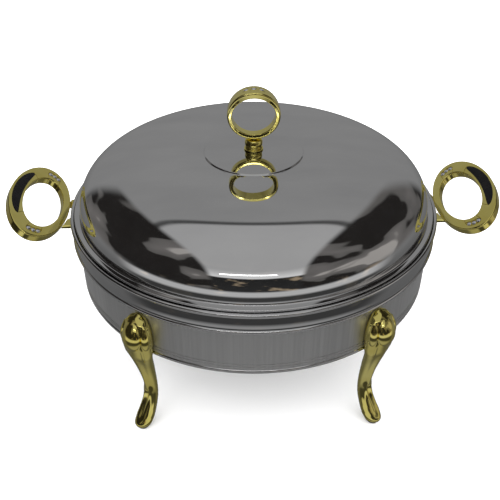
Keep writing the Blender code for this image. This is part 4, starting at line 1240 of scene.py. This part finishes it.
def mixed(tree, factor, first, second, blend_type="MIX"):
    made = node(tree, "ShaderNodeMix", data_type="RGBA", blend_type=blend_type)
    if isinstance(factor, float):
        made.inputs["Factor"].default_value = factor
    else:
        tree.links.new(factor, made.inputs["Factor"])
    tree.links.new(first, made.inputs[MIX_FIRST])
    tree.links.new(second, made.inputs[MIX_SECOND])
    return made.outputs[MIX_RESULT]


def ramp_value(tree, source, start, end):
    """0 at start and 1 at end, with a soft change between them."""
    return ranged(tree, source, start, end, kind="SMOOTHSTEP")


def multiplied(tree, first, second):
    made = node(tree, "ShaderNodeMath", operation="MULTIPLY")
    tree.links.new(first, made.inputs[0])
    tree.links.new(second, made.inputs[1])
    return made.outputs["Value"]


def busy_front(tree, direction, height):
    """The room ahead, with brown patches between the floor and the ceiling."""
    ahead = shade_ramp(tree, height, FRONT_SHADES)
    clutter = noise(tree, direction, Scale=CLUTTER_SCALE, Detail=CLUTTER_DETAIL)
    patches = colour_ramp(tree, clutter, CLUTTER_SHADES)
    brighter = mixed(tree, 1.0, ahead, patches, "ADD")
    return mixed(tree, shade_ramp(tree, height, CLUTTER_SHARE), ahead, brighter)


def darkened_sides(tree, direction, split, room):
    """Dark walls to the left and right of the object, above the table's height."""
    aside = node(tree, "ShaderNodeMath", operation="ABSOLUTE")
    tree.links.new(split.outputs["X"], aside.inputs[0])
    walls = ramp_value(tree, aside.outputs["Value"], *SIDE_WALLS)
    share = multiplied(tree, walls, ramp_value(tree, split.outputs["Y"], *SIDE_BACK))
    share = multiplied(tree, share, ramp_value(tree, split.outputs["Z"], *SIDE_LOW))
    shadows = noise(tree, direction, Scale=SIDE_SCALE, Distortion=SIDE_DISTORTION)
    return mixed(tree, share, room, colour_ramp(tree, shadows, SIDE_SHADES))


def make_world():
    """Even white light on matt surfaces, and a grey room for the polished parts to reflect."""
    world = bpy.data.worlds.new("studio")
    bpy.context.scene.world = world
    world.use_nodes = True
    tree = world.node_tree
    direction = node(tree, "ShaderNodeTexCoord").outputs["Generated"]
    split = node(tree, "ShaderNodeSeparateXYZ")
    tree.links.new(direction, split.inputs["Vector"])
    ahead = busy_front(tree, direction, split.outputs["Z"])
    behind = shade_ramp(tree, split.outputs["Z"], REAR_SHADES)
    room = mixed(tree, ramp_value(tree, split.outputs["Y"], *ROOM_TURN), ahead, behind)
    reflected = tree.nodes["Background"]
    tree.links.new(darkened_sides(tree, direction, split, room), reflected.inputs["Color"])
    even = node(tree, "ShaderNodeBackground")
    even.inputs["Color"].default_value = (1, 1, 1, 1)
    even.inputs["Strength"].default_value = EVEN_STRENGTH
    ray = node(tree, "ShaderNodeLightPath")
    choice = node(tree, "ShaderNodeMixShader")
    tree.links.new(ray.outputs["Is Glossy Ray"], choice.inputs["Fac"])
    tree.links.new(even.outputs["Background"], choice.inputs[1])
    tree.links.new(reflected.outputs["Background"], choice.inputs[2])
    tree.links.new(choice.outputs["Shader"], tree.nodes["World Output"].inputs["Surface"])


def make_stage():
    make_camera()
    make_floor()
    make_world()
    area_light("key", *KEY_LIGHT)
    area_light("strip", *STRIP_LIGHT)
    bpy.context.scene.view_settings.view_transform = "Standard"


def make_all():
    finish_carried_nodes()
    make_stage()
    make_lid()
    make_knob_washer()
    make_knob_stem()
    make_knob_ring()
    make_food_pan()
    make_water_pan()
    for side in ("left", "right"):
        make_ring(side)
        make_enamel(side)
        for sign in (-1, 1):
            make_gems(side, sign)
        make_bracket(side)
    make_band()
    make_hoop()
    make_legs()
    make_holder()
    make_can()
    make_wick_plate()


make_all()
